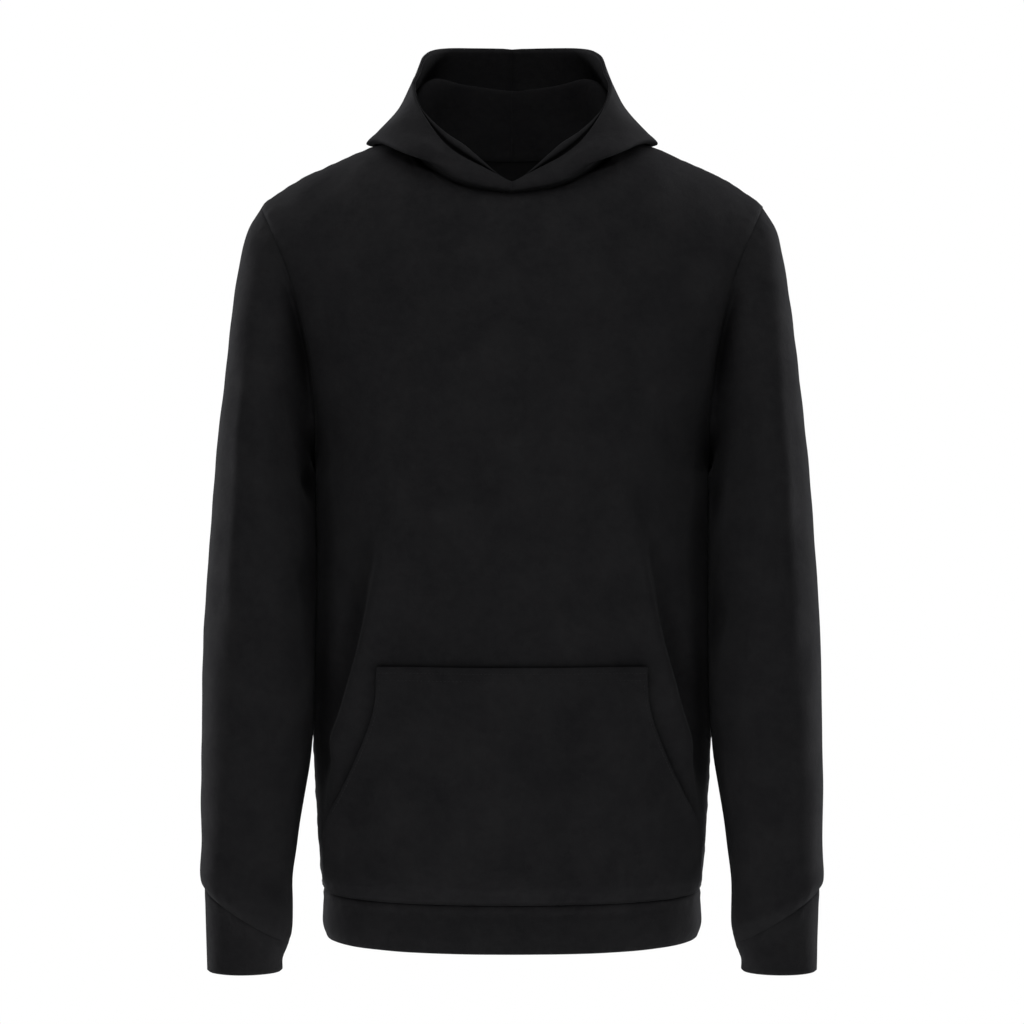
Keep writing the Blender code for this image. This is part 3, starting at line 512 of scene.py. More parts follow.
def hem_band_grid():
    """Outer points of the hem band, rows upwards, columns right round."""
    turns = np.linspace(0, TURN, HALF_COLUMNS * 4 * FINE, endpoint=False)
    lines = []
    for z in np.linspace(HEM_EDGE_Z, HEM_SEAM_Z, BAND_ROWS):
        depth = np.where(np.cos(turns) > 0, body_size("front_depth", z), body_size("back_depth", z))
        x, y = section_point(body_size("half_width", z), depth, turns)
        lines.append(np.stack([x, -y, np.full_like(x, z)], axis=-1))
    return np.array(lines)


def lengths_along(grid):
    """Distances in the cloth of each point from the first row and from the first column."""
    up = np.linalg.norm(np.diff(grid, axis=0), axis=-1)
    up = np.concatenate([np.zeros((1, grid.shape[1])), np.cumsum(up, axis=0)])
    across = np.linalg.norm(np.diff(grid, axis=1), axis=-1)
    across = np.concatenate([np.zeros((grid.shape[0], 1)), np.cumsum(across, axis=1)], axis=1)
    return up, across


def ramp(distance, reach):
    """A share that rises evenly from 0 to 1 at the reach."""
    return np.clip(distance / reach, 0, 1)


def bell(offset, width):
    """A smooth bump, 1 in its middle."""
    return np.exp(-(offset / width) ** 2)


UNEVEN_PERIODS = (0.110, 0.085, 0.062, 0.048, 0.037)
UNEVEN_CROSSING = 1.9
UNEVEN_LEANING = (1.0, 0.6, 0.5)
UNEVEN_SHARE = 1 / 3


def unevenness(points, seed):
    """Soft unevenness of the cloth, between about -1 and 1, from a few crossing waves."""
    draw = np.random.default_rng(seed)
    total = np.zeros(points.shape[:-1])
    for period in UNEVEN_PERIODS:
        way = unit(draw.normal(size=3) * UNEVEN_LEANING)
        other = unit(draw.normal(size=3))
        phase = draw.uniform(0, TURN, 2)
        wave = np.sin(points @ way * TURN / period + phase[0])
        total += wave * np.cos(points @ other * TURN / (period * UNEVEN_CROSSING) + phase[1])
    return total * UNEVEN_SHARE


SEAM_DEPTH = 0.0010
SEAM_HEIGHT = 0.0004
SEAM_PLACE = 0.0065
SEAM_SPREAD = 0.77
DIP_WIDTH = 0.0020
PUCKER_PERIODS = (0.0130, 0.0210, 0.0340)
PUCKER_HEIGHT = 0.00030
PUCKER_START = 0.004
PUCKER_REACH = 0.010


def seam_lift(distance, seed, along, depth=SEAM_DEPTH, height=SEAM_HEIGHT, place=SEAM_PLACE):
    """A seam's own form: the cloth dips into the seam, stands a little beside it, and puckers unevenly."""
    draw = np.random.default_rng(seed)
    dip = -depth * bell(distance, DIP_WIDTH)
    stand = height * bell(distance / place - 1, SEAM_SPREAD)
    pucker = np.zeros_like(distance)
    for period in PUCKER_PERIODS:
        pucker += np.sin(along * TURN / period + draw.uniform(0, TURN))
    beside = bell(distance, PUCKER_REACH) - bell(distance, PUCKER_START)
    return dip + stand + pucker * PUCKER_HEIGHT * beside


def eased(distance, reach):
    """A share that rises softly from 0 at a rim to 1 at the reach."""
    share = ramp(distance, reach)
    return share * share * (3 - 2 * share)


def rim_loops(rows, columns, wrap):
    """The rim of a grid as closed loops of (row, column), the cloth on the left as seen from outside."""
    last = columns if wrap else columns - 1
    bottom = [(0, column) for column in range(last)]
    top = [(rows - 1, column) for column in range(last, 0, -1)]
    if wrap:
        return [bottom, top]
    right = [(row, last) for row in range(rows - 1)]
    left = [(row, 0) for row in range(rows - 1, 0, -1)]
    return [bottom + right + top + left]


RIM_ROUNDNESS = 0.45


def rim_points(outer, inner, loop):
    """Points of a rounded rim, midway between the two layers and a little outwards."""
    rows, columns = np.array(loop).T
    edge = outer[rows, columns % outer.shape[1]]
    under = inner[rows, columns % outer.shape[1]]
    along = unit(np.roll(edge, -1, axis=0) - np.roll(edge, 1, axis=0))
    way = unit(np.cross(along, edge - under))
    thick = np.linalg.norm(edge - under, axis=-1, keepdims=True)
    return (edge + under) / 2 + way * thick * RIM_ROUNDNESS


def new_piece(name, points, faces, material):
    """A smooth-shaded mesh as an object of the scene."""
    mesh = bpy.data.meshes.new(name)
    mesh.from_pydata(points, [], faces)
    mesh.shade_smooth()
    mesh.materials.append(material)
    piece = bpy.data.objects.new(name, mesh)
    bpy.context.scene.collection.objects.link(piece)
    return piece


def cloth(name, outer, wall, wrap, material, inside=None):
    """A closed thin shell on a grid of outer points, with rounded rims and a UV map in metres of cloth."""
    rows, columns = outer.shape[:2]
    normals = grid_normals(outer, wrap)
    inner = outer - wall[..., None] * normals
    count = rows * columns
    up, across = lengths_along(np.concatenate([outer, outer[:, :1]], axis=1) if wrap else outer)
    points = [outer.reshape(-1, 3), inner.reshape(-1, 3)]
    faces = []
    flat = []

    def at(row, column, layer):
        return layer * count + row * columns + column % columns

    def place(row, column):
        return across[row, column], up[row, column]

    steps = columns if wrap else columns - 1
    for row in range(rows - 1):
        for column in range(steps):
            ring = ((row, column), (row, column + 1), (row + 1, column + 1), (row + 1, column))
            spots = [place(*corner) for corner in ring]
            faces.append([at(*corner, 0) for corner in ring])
            flat += spots
            faces.append([at(*corner, 1) for corner in reversed(ring)])
            flat += spots[::-1]
    first = 2 * count
    for loop in rim_loops(rows, columns, wrap):
        points.append(rim_points(outer, inner, loop))
        size = len(loop)
        for index, here in enumerate(loop):
            after = (index + 1) % size
            there = loop[after]
            spots = [place(*there), place(*here), place(*here), place(*there)]
            faces.append([at(*there, 0), at(*here, 0), first + index, first + after])
            faces.append([first + after, first + index, at(*here, 1), at(*there, 1)])
            flat += spots + spots
        first += size
    piece = new_piece(name, np.concatenate(points).tolist(), faces, material)
    layer = piece.data.uv_layers.new(name="cloth")
    layer.data.foreach_set("uv", np.array(flat, np.float32).reshape(-1))
    # The inner layer takes the inside material, which is darkened as painted shade
    if inside:
        piece.data.materials.append(inside)
        sides = np.zeros(len(faces), np.int32)
        sides[1:2 * (rows - 1) * steps:2] = 1
        piece.data.polygons.foreach_set("material_index", sides)
    return piece


STITCH_PITCH = 0.0034
STITCH_LENGTH = 0.0027
STITCH_RADIUS = 0.00032
STITCH_SIDES = 6
# Columns: place along the stitch, thickness there
STITCH_PROFILE = ((-0.5, 0.25), (-0.38, 0.85), (0.0, 1.0), (0.38, 0.85), (0.5, 0.25))
STITCH_STAND = 0.15
STITCH_SAG = 0.9
STITCH_FLATNESS = 0.8


def read_along(places, run, values):
    """Points read at places along a rising run."""
    return np.stack([np.interp(places, run, values[:, axis]) for axis in range(3)], axis=-1)


def add_stitch(points, faces, middle, ahead, aside, above):
    """One stitch: a small bar lying on the cloth, its ends sunk into it."""
    base = len(points)
    for place, radius in STITCH_PROFILE:
        sag = STITCH_RADIUS * STITCH_SAG * (2 * place) ** 2
        centre = middle + ahead * place * STITCH_LENGTH - above * sag
        for turn in np.arange(STITCH_SIDES) * TURN / STITCH_SIDES:
            spoke = aside * math.cos(turn) + above * math.sin(turn) * STITCH_FLATNESS
            points.append(centre + spoke * radius * STITCH_RADIUS)
    last = len(points) - STITCH_SIDES
    for ring in range(base, last, STITCH_SIDES):
        for side in range(STITCH_SIDES):
            here = ring + side
            there = ring + (side + 1) % STITCH_SIDES
            faces.append((here, here + STITCH_SIDES, there + STITCH_SIDES, there))
    faces.append(range(base, base + STITCH_SIDES))
    faces.append(range(last + STITCH_SIDES - 1, last - 1, -1))


def stitch_rows(name, rows, material):
    """Rows of stitches as one mesh. Each row is (points, normals) along its line on the cloth."""
    points = []
    faces = []
    half = STITCH_LENGTH / 2
    for line, normals in rows:
        steps = np.linalg.norm(np.diff(line, axis=0), axis=1)
        run = np.concatenate([[0.0], np.cumsum(steps)])
        middles = np.arange(STITCH_PITCH / 2, run[-1] - STITCH_PITCH / 3, STITCH_PITCH)
        up = unit(read_along(middles, run, normals))
        along = unit(read_along(middles + half, run, line) - read_along(middles - half, run, line))
        beside = unit(np.cross(along, up))
        centre = read_along(middles, run, line) + up * STITCH_RADIUS * STITCH_STAND
        for stitch in zip(centre, along, beside, up):
            add_stitch(points, faces, *stitch)
    return new_piece(name, points, faces, material)


# ---------------- materials
CLOTH_DARK = (0.0085, 0.0085, 0.0092)
CLOTH_PALE = (0.0135, 0.0134, 0.0140)
CLOTH_SURFACE = {
    "Roughness": 0.92,
    "Specular IOR Level": 0.0,
    "Sheen Roughness": 0.42,
    "Sheen Tint": (0.95, 0.96, 1.0, 1.0),
}
BODY_SHEEN = 0.015
WRONG_SIDE_SHEEN = 0.005
# How strongly the knit shows through the nap
BODY_KNIT = 0.35
BAND_KNIT = 0.45
WRONG_SIDE_KNIT = 0.60
# Columns: name of the cloth seen on its wrong side, its shade beside the right side's. The wrong side is
# drawn darker as painted shade of the hollow insides, and the back's copy is painted lighter than the
# others, as painted light against the shadow its inside lies in
INSIDE_PAINTED_SHADES = (("inside_painted_shade", 0.50), ("back_inside_painted_light_and_shade", 0.66))
# From broad mottling to single fibres. Columns: scale, detail, roughness, weight
MOTTLING = ((26.0, 4.0, 0.60, 0.45), (150.0, 3.0, 0.65, 0.30), (900.0, 2.0, 0.70, 0.25))
MOTTLING_RANGE = (0.36, 0.64)
# Painted shade: the colour is darkened by ambient occlusion in creases, recesses and gaps between parts:
# how wide this is felt, and how strongly
PAINTED_CREASE_SHADE_REACH = 0.028
PAINTED_CREASE_SHADE_STRENGTH = 1.2
PAINTED_CREASE_SHADE_SAMPLES = 8
WALES_PER_METRE = 1150.0
COURSES_PER_METRE = 1400.0
COURSE_SLANT = 1.3
COURSE_HEIGHT = 0.45
FIBRE_HEIGHT = 2.4
KNIT_DEPTH = 0.00016
NAP_STRENGTH = 0.35
NAP_DEPTH = 0.0012
THREAD = (0.0145, 0.0145, 0.0152)
THREAD_SHADE = 0.6
THREAD_SURFACE = {"Roughness": 0.80, "Specular IOR Level": 0.05, "Sheen Weight": 0.02}
STRANDS_SCALE = 2600.0


def set_inputs(tree, node, inputs):
    """A node's inputs, each set to a value or linked to another node's output."""
    for key, value in inputs.items():
        if isinstance(value, bpy.types.NodeSocket):
            tree.links.new(value, node.inputs[key])
        else:
            node.inputs[key].default_value = value


def add_node(tree, kind, inputs):
    """A new shader node with its inputs."""
    node = tree.nodes.new("ShaderNode" + kind)
    set_inputs(tree, node, inputs)
    return node


def add_math(tree, kind, first, second=0.0):
    """The output of a new math node."""
    node = add_node(tree, "Math", {0: first, 1: second})
    node.operation = kind
    return node.outputs[0]


def add_noise(tree, source, scale, detail, rough):
    """The output of a new noise node."""
    inputs = {"Vector": source, "Scale": scale, "Detail": detail, "Roughness": rough}
    return add_node(tree, "TexNoise", inputs).outputs["Fac"]


def shade(colour, share=1.0):
    """A share of a colour, opaque."""
    return tuple(share * value for value in colour) + (1.0,)


def new_material(name, surface):
    """A material with its shader's values, as its node tree and its shader."""
    material = bpy.data.materials.new(name)
    material.use_nodes = True
    tree = material.node_tree
    shader = tree.nodes["Principled BSDF"]
    set_inputs(tree, shader, surface)
    return material, tree, shader


def colour_with_painted_shade(tree, mottles, dark, pale):
    """Mottled black, with painted shade from ambient occlusion that darkens it in creases and recesses."""
    mix = add_math(tree, "MULTIPLY", mottles[0], MOTTLING[0][-1])
    for mottle, row in zip(mottles[1:], MOTTLING[1:]):
        mix = add_math(tree, "ADD", mix, add_math(tree, "MULTIPLY", mottle, row[-1]))
    ramp = add_node(tree, "ValToRGB", {"Fac": mix})
    for element, position, colour in zip(ramp.color_ramp.elements, MOTTLING_RANGE, (dark, pale)):
        element.position = position
        element.color = colour
    # Painted shade: ambient occlusion multiplies the colour, so creases and gaps between parts come out
    # darker
    crease_occlusion = add_node(tree, "AmbientOcclusion", {"Distance": PAINTED_CREASE_SHADE_REACH})
    crease_occlusion.samples = PAINTED_CREASE_SHADE_SAMPLES
    painted_shade_share = add_math(tree, "POWER", crease_occlusion.outputs["AO"], PAINTED_CREASE_SHADE_STRENGTH)
    painted_shade_mix = tree.nodes.new("ShaderNodeMix")
    painted_shade_mix.data_type = "RGBA"
    painted_shade_mix.blend_type = "MULTIPLY"
    set_inputs(tree, painted_shade_mix, {"Factor": 1.0, 6: ramp.outputs["Color"], 7: painted_shade_share})
    return painted_shade_mix.outputs[2]


def knit_normal(tree, mottles, knit):
    """Fine wales and courses under an uneven nap."""
    flat = tree.nodes.new("ShaderNodeUVMap")
    flat.uv_map = "cloth"
    split = add_node(tree, "SeparateXYZ", {"Vector": flat.outputs["UV"]})
    wale = add_math(tree, "SINE", add_math(tree, "MULTIPLY", split.outputs["X"], WALES_PER_METRE * TURN))
    course = add_math(tree, "MULTIPLY", split.outputs["Y"], COURSES_PER_METRE * TURN)
    slant = add_math(tree, "ADD", course, add_math(tree, "MULTIPLY", wale, COURSE_SLANT))
    loops = add_math(tree, "MULTIPLY", add_math(tree, "SINE", slant), COURSE_HEIGHT)
    fibres = add_math(tree, "MULTIPLY", mottles[2], FIBRE_HEIGHT)
    height = add_math(tree, "ADD", add_math(tree, "ADD", wale, loops), fibres)
    bump = add_node(tree, "Bump", {"Strength": knit, "Distance": KNIT_DEPTH, "Height": height})
    nap = {
        "Strength": NAP_STRENGTH,
        "Distance": NAP_DEPTH,
        "Height": mottles[1],
        "Normal": bump.outputs["Normal"],
    }
    return add_node(tree, "Bump", nap).outputs["Normal"]


def cloth_material(name, sheen, knit, share=1.0):
    """Brushed cotton knit with a soft sheen and painted shade in its creases, at a share of the right
    side's shade.
    """
    material, tree, shader = new_material(name, {**CLOTH_SURFACE, "Sheen Weight": sheen})
    place = tree.nodes.new("ShaderNodeTexCoord").outputs["Object"]
    mottles = [add_noise(tree, place, *row[:-1]) for row in MOTTLING]
    colour = colour_with_painted_shade(tree, mottles, shade(CLOTH_DARK, share), shade(CLOTH_PALE, share))
    set_inputs(tree, shader, {"Base Color": colour, "Normal": knit_normal(tree, mottles, knit)})
    return material


def thread_material():
    """Matt twisted polyester thread."""
    material, tree, shader = new_material("thread", THREAD_SURFACE)
    place = tree.nodes.new("ShaderNodeTexCoord")
    strands = add_node(tree, "TexNoise", {"Vector": place.outputs["Object"], "Scale": STRANDS_SCALE})
    ramp = add_node(tree, "ValToRGB", {"Fac": strands.outputs["Fac"]})
    for element, share in zip(ramp.color_ramp.elements, (THREAD_SHADE, 1.0)):
        element.color = shade(THREAD, share)
    set_inputs(tree, shader, {"Base Color": ramp.outputs["Color"]})
    return material


body_cloth = cloth_material("body_cloth", BODY_SHEEN, BODY_KNIT)
band_cloth = cloth_material("band_cloth", BODY_SHEEN, BAND_KNIT)
# Painted shade: these copies of the cloth are darker than the right side; the back's copy is less dark, as
# painted light where the back's inside lies in shadow
inside_painted_shade, back_inside_painted_light_and_shade = (
    cloth_material(name, WRONG_SIDE_SHEEN, WRONG_SIDE_KNIT, share) for name, share in INSIDE_PAINTED_SHADES
)
thread = thread_material()


def keep(piece, slot, *nodes):
    """The piece rides on the one body and stands for its solids."""
    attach(piece, BODY)
    if nodes:
        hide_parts(*nodes)


def keep_cloth(node, grid, wall, wrap, material, inside=None):
    """A piece of cloth in place of one solid. Sleeve, cuff and hood grids are those of the left."""
    if node.endswith("_right"):
        grid = mirror_grid(grid)
        wall = wall[:, ::-1]
    slot = "band_fleece" if material is band_cloth else "fleece"
    keep(cloth(f"{node}_cloth", grid, wall, wrap, material, inside), slot, node)


SMOOTHINGS = 4
UNEVEN_HEIGHT = 0.0007
SMALL_UNEVEN_HEIGHT = 0.0003
ARMHOLE_SEAM_DEPTH = 0.0003
HEM_SEAM_DEPTH = 0.0001
HEM_SEAM_HEIGHT = 0.0008
HEM_SEAM_PLACE = 0.0040
EDGE_WALL_SHARE = 0.4
EDGE_WALL_REACH = 0.006


def edge_wall(wall, distance):
    """The wall gets thinner towards a seam, where the layers are pressed together."""
    share = ramp(distance, EDGE_WALL_REACH)
    return wall * (EDGE_WALL_SHARE + (1 - EDGE_WALL_SHARE) * share)


# Front and back
FRONT_SEED = 11
BACK_SEED = 23
PANEL_SMOOTHINGS = 12
PANEL_CALM_REACH = 0.030
PANEL_CREASE_REACH = 0.012
ARMHOLE_SEAM_HEIGHT = 0.0006


def panel(side, half, folds, creases, sides, seed):
    """The finished outer grid of the front or the back, and the thickness of its wall."""
    grid = smoothed(whole_panel(half, side), PANEL_SMOOTHINGS)
    up, across = lengths_along(grid)
    to_top = up[-1:] - up
    to_right = across[:, -1:] - across
    nearest = np.minimum.reduce([up, to_top, across, to_right])
    calm = eased(nearest, PANEL_CALM_REACH)
    lift = line_lift(grid, folds, True) * calm
    fine = line_lift(grid, creases, False)
    for fold_side, share, shift in sides:
        fine += path_lift(grid, SIDE_RIDGE, fold_side, share, shift)
        fine += path_lift(grid, SIDE_HOLLOW, fold_side, share, shift)
    lift += fine * ramp(nearest, PANEL_CREASE_REACH)
    lift += UNEVEN_HEIGHT * unevenness(grid, seed) * calm
    lift += seam_lift(up, seed + 1, across, HEM_SEAM_DEPTH, HEM_SEAM_HEIGHT, HEM_SEAM_PLACE)
    lift += seam_lift(to_top, seed + 2, across)
    lift += seam_lift(across, seed + 3, up, ARMHOLE_SEAM_DEPTH, ARMHOLE_SEAM_HEIGHT)
    lift += seam_lift(to_right, seed + 4, up, ARMHOLE_SEAM_DEPTH, ARMHOLE_SEAM_HEIGHT)
    return lifted(grid, lift, False), edge_wall(WALL, nearest)


front_half = half_panel(-1, "front_depth", FRONT_RIDGE_RISE, FRONT_NECK_ANGLE)
front_grid, front_wall = panel(-1, front_half, FRONT_FOLDS, FRONT_CREASES, FRONT_SIDES, FRONT_SEED)
keep_cloth("front", front_grid, front_wall, False, body_cloth, inside_painted_shade)
back_half = half_panel(1, "back_depth", BACK_RIDGE_RISE, BACK_NECK_ANGLE)
back_grid, back_wall = panel(1, back_half, BACK_FOLDS, BACK_CREASES, BACK_SIDES, BACK_SEED)
keep_cloth("back", back_grid, back_wall, False, body_cloth, back_inside_painted_light_and_shade)

# Sleeves and cuffs. Columns: side, seed, sign of the creases' difference
SLEEVE_SIDES = (("left", 31, 1.0), ("right", 47, -1.0))
SLEEVE_CALM_REACH = 0.040
SLEEVE_CREASE_REACH = 0.015
# Creases differ a little from side to side: a shift in rings and a share of the height
CREASE_SHIFT = 0.3
CREASE_DIFFERENCE = 0.15
UNDER_SEAM_DEPTH = 0.0008
UNDER_SEAM_WIDTH = 0.003
SLEEVE_RADIUS = 0.065
# The cloth goes in below the armhole seam, at the front and the back
HOLLOW_DEPTH = 0.0150
HOLLOW_PLACE = 0.0045
HOLLOW_TURN = 0.46
HOLLOW_SPREAD = 0.14
CUFF_SEAM_DEPTH = 0.0
CUFF_SEAM_HEIGHT = 0.0003
CUFF_FILLING = 0.0022
CUFF_FILLING_REACH = 0.012

sleeve_turns = np.linspace(0, TURN, SLEEVE_COLUMNS, endpoint=False)
sleeve_rings = (ARMHOLE, *SLEEVE_RINGS)
sleeve_base, sleeve_places = tube_grid(sleeve_rings, SLEEVE_ROWS * FINE + 1, sleeve_turns)
cuff_base = tube_grid((SLEEVE_RINGS[-1], *CUFF_RINGS), CUFF_ROWS, sleeve_turns)[0]


def sleeve_lift(crease_sign):
    """How far folds and creases lift each point of a sleeve."""
    lift = np.zeros(sleeve_base.shape[:2])
    for table, sign in ((SLEEVE_FOLDS, 0.0), (SLEEVE_CREASES, crease_sign)):
        for ring, turn, rings_long, turns_wide, height in table:
            along = (sleeve_places[:, None] - ring - CREASE_SHIFT * sign) / rings_long
            gap = sleeve_turns[None, :] / TURN - turn
            around = (gap - np.round(gap)) / turns_wide
            lift += height * np.exp(-along ** 2 - around ** 2) * (1.0 - CREASE_DIFFERENCE * sign)
    return lift


def sleeve(seed, crease_sign):
    """The finished outer grid of a sleeve, shaped on the wearer's left, and its wall."""
    grid = sleeve_base
    up, across = lengths_along(grid)
    to_cuff = up[-1:] - up
    nearest = np.minimum(up, to_cuff)
    calm = eased(nearest, SLEEVE_CALM_REACH)
    lift = sleeve_lift(crease_sign) * ramp(nearest, SLEEVE_CREASE_REACH)
    lift += UNEVEN_HEIGHT * unevenness(grid, seed) * calm
    lift += seam_lift(up, seed + 1, across, ARMHOLE_SEAM_DEPTH, 0.0)
    lift += seam_lift(to_cuff, seed + 2, across, CUFF_SEAM_DEPTH, CUFF_SEAM_HEIGHT)
    lift += CUFF_FILLING * bell(to_cuff, CUFF_FILLING_REACH) * np.abs(np.sin(sleeve_turns))
    under = np.abs(sleeve_turns - math.pi) * SLEEVE_RADIUS
    lift -= UNDER_SEAM_DEPTH * bell(under, UNDER_SEAM_WIDTH) * calm
    shaped = lifted(grid, lift, True)
    share = up / HOLLOW_PLACE
    lower = bell(np.abs(sleeve_turns / math.pi - 1) - HOLLOW_TURN, HOLLOW_SPREAD)
    hollow = HOLLOW_DEPTH * share * np.exp(1 - share) * lower
    shaped[..., 1] -= hollow * np.sign(grid_normals(grid, True)[..., 1])
    return shaped, edge_wall(WALL, nearest)


def cuff(seed):
    """The finished outer grid of a cuff and its wall."""
    grid = cuff_base
    up, across = lengths_along(grid)
    lift = seam_lift(up, seed, across, CUFF_SEAM_DEPTH, CUFF_SEAM_HEIGHT)
    lift += CUFF_FILLING * bell(up, 2 * CUFF_FILLING_REACH) * np.abs(np.sin(sleeve_turns))
    lift += SMALL_UNEVEN_HEIGHT * unevenness(grid, seed + 1) * ramp(up, CUFF_FILLING_REACH)
    return lifted(grid, lift, True), edge_wall(BAND_WALL, up)


for side_name, seed, crease_sign in SLEEVE_SIDES:
    keep_cloth(f"sleeve_{side_name}", *sleeve(seed, crease_sign), True, body_cloth, inside_painted_shade)
    keep_cloth(f"cuff_{side_name}", *cuff(seed + 5), True, band_cloth)

# Hood: two panels, each with a turned hem inside its face edge
HOOD_CALM_REACH = 0.020
HOOD_UNEVEN_HEIGHT = 0.0006
HOOD_SEAM_REACH = 0.012
HOOD_SEAM_HALF_GAP = 0.00002
HOOD_HEM_GAP = 0.0002
# A slight ridge over the pressed-open allowance of the middle seam, behind the neck
ALLOWANCE_HEIGHT = 0.0011
ALLOWANCE_PLACE = 0.0034
ALLOWANCE_WIDTH = 0.0015
ALLOWANCE_FOOT = 0.020
ALLOWANCE_END = 0.045
ALLOWANCE_FADE = 1 / 6
# The turned hem shows past the face edge beside the throat. Columns: reach past the edge, depth behind it
HOOD_LIP = (
    (0.0004, 0.0025), (0.0012, 0.0050), (0.0026, 0.0062), (0.0040, 0.0056), (0.0050, 0.0034),
    (0.0058, 0.0020), (0.0080, 0.0015), (0.0105, 0.0020), (0.0115, 0.0040),
)
BACKWARD = np.array([0.0, 1.0, 0.0])
LIP_MIDDLE = 0.27
LIP_SPREAD = 0.15
# Columns: side, seed
HOOD_SIDES = (("left", 61), ("right", 67))

middle = HALF_COLUMNS * FINE
front_neck = front_grid[-1, middle:middle + NECK_COLUMNS * FINE + 1]
back_neck = back_grid[-1, middle - NECK_COLUMNS * FINE:middle + 1]
back_neck = back_neck[np.argsort(-back_neck[:, 0])]
neck_seam = np.concatenate([front_neck, back_neck[1:]])
neck_stations = np.linspace(0, 1, len(neck_seam))
hood_base = smoothed(hood_grid(neck_seam, neck_stations), SMOOTHINGS)


def hood(seed):
    """The finished outer grid of a hood panel and its wall."""
    grid = hood_base
    up, across = lengths_along(grid)
    to_back = across[:, -1:] - across
    nearest = np.minimum(up, to_back)
    lift = HOOD_UNEVEN_HEIGHT * unevenness(grid, seed) * ramp(nearest, HOOD_CALM_REACH)
    lift += seam_lift(up, seed + 1, across)
    lift += seam_lift(to_back, seed + 2, up) * ramp(up, HOOD_SEAM_REACH)
    past_end = np.clip(up / ALLOWANCE_END - 1, 0, None)
    length = ramp(up, ALLOWANCE_FOOT) ** 3 * bell(past_end, ALLOWANCE_FADE)
    lift -= ALLOWANCE_HEIGHT * length * bell(to_back - ALLOWANCE_PLACE, ALLOWANCE_WIDTH)
    points = lifted(grid, lift, False)
    points[:, (0, -1), 0] = HOOD_SEAM_HALF_GAP
    return points, edge_wall(WALL, nearest)


def hood_hem(grid, wall):
    """The turned hem on the inside of a hood panel, and its lip that shows at the throat."""
    under = grid - (wall + HOOD_HEM_GAP)[..., None] * grid_normals(grid, False)
    hem = under[-HOOD_HEM_ROWS * FINE - 1:]
    share = bell(neck_stations - LIP_MIDDLE, LIP_SPREAD)[:, None]
    run = np.gradient(hem[-1], axis=0)
    inward = unit(np.stack([run[:, 2], np.zeros(len(run)), -run[:, 0]], axis=-1))
    inward *= np.where(inward[:, :1] < 0, 1.0, -1.0)
    lip = [hem[-1] + share * (reach * inward + depth * BACKWARD) for reach, depth in HOOD_LIP]
    return np.concatenate([hem, np.array(lip)])


for side_name, seed in HOOD_SIDES:
    grid, wall = hood(seed)
    hem = hood_hem(grid, wall)
    keep_cloth(f"hood_{side_name}", grid, wall, False, body_cloth, inside_painted_shade)
    keep_cloth(f"hood_hem_{side_name}", hem, np.full(hem.shape[:2], HOOD_HEM_WALL), False, body_cloth)

# Hem band
BAND_SEED = 71


def hem_band():
    """The finished outer grid of the hem band and its wall."""
    grid = hem_band_grid()
    up, across = lengths_along(grid)
    to_seam = up[-1:] - up
    lift = seam_lift(to_seam, BAND_SEED, across, HEM_SEAM_DEPTH, HEM_SEAM_HEIGHT, HEM_SEAM_PLACE)
    lift += SMALL_UNEVEN_HEIGHT * unevenness(grid, BAND_SEED + 2) * ramp(to_seam, HEM_SEAM_PLACE)
    return lifted(grid, lift, True), edge_wall(BAND_WALL, to_seam)


keep_cloth("hem_band", *hem_band(), True, band_cloth)

# Pocket, laid on the finished front
POCKET_COLUMNS = 90
POCKET_CROWDING = 0.9
POCKET_CROWN = 0.0012
POCKET_CROWN_REACH = 0.05
POCKET_UNEVEN_HEIGHT = 0.0004
POCKET_UNEVEN_REACH = 0.02
POCKET_MOUTH_LIFT = 0.0008
POCKET_MOUTH_REACH = 0.006
POCKET_FOOT_SHARE = 0.35
POCKET_FOOT_REACH = 0.012
POCKET_SEED = 83


def under_pocket():
    """Points of the front that the pocket lies on and the way out of the cloth there, rows upwards."""
    crowding = QUARTER * POCKET_CROWDING
    shares = np.sin(np.linspace(-1, 1, POCKET_COLUMNS + 1) * crowding) / math.sin(crowding)
    normals = grid_normals(smoothed(front_grid, SMOOTHINGS), False)
    points = []
    ways = []
    for line, line_ways in zip(front_grid[1:POCKET_ROWS * FINE + 1], normals[1:]):
        reach = float(spline(POCKET_TABLE["z"], POCKET_TABLE["half_width"], line[middle, 2]))
        order = np.argsort(line[:, 0])
        points.append(read_along(shares * reach, line[order, 0], line[order]))
        ways.append(unit(read_along(shares * reach, line[order, 0], line_ways[order])))
    return np.array(points), np.array(ways)


def pocket():
    """The finished outer grid of the pocket, and distances in it from its foot and from one mouth."""
    points, ways = under_pocket()
    up, across = lengths_along(points)
    side = np.minimum(across, across[:, -1:] - across)
    nearest = np.minimum(side, up[-1:] - up)
    lift = POCKET_LIFT + POCKET_WALL + POCKET_CROWN * ramp(nearest, POCKET_CROWN_REACH)
    lift += POCKET_UNEVEN_HEIGHT * unevenness(points, POCKET_SEED) * ramp(nearest, POCKET_UNEVEN_REACH)
    lift += POCKET_MOUTH_LIFT * bell(side, POCKET_MOUTH_REACH)
    lift *= np.clip(POCKET_FOOT_SHARE + (1 - POCKET_FOOT_SHARE) * up / POCKET_FOOT_REACH, 0, 1)
    return points + lift[..., None] * ways, up, across


pocket_grid, pocket_up, pocket_across = pocket()
keep_cloth("pocket", pocket_grid, np.full(pocket_up.shape, POCKET_WALL), False, body_cloth)

# Stitching: two rows above the hem band, two below the pocket's top edge, one beside each pocket mouth
HEM_STITCHES = (0.0030, 0.0064)
POCKET_TOP_STITCHES = (0.0047, 0.0110)
POCKET_MOUTH_STITCHES = 0.0026
POCKET_MOUTH_FOOT_Z = -0.585


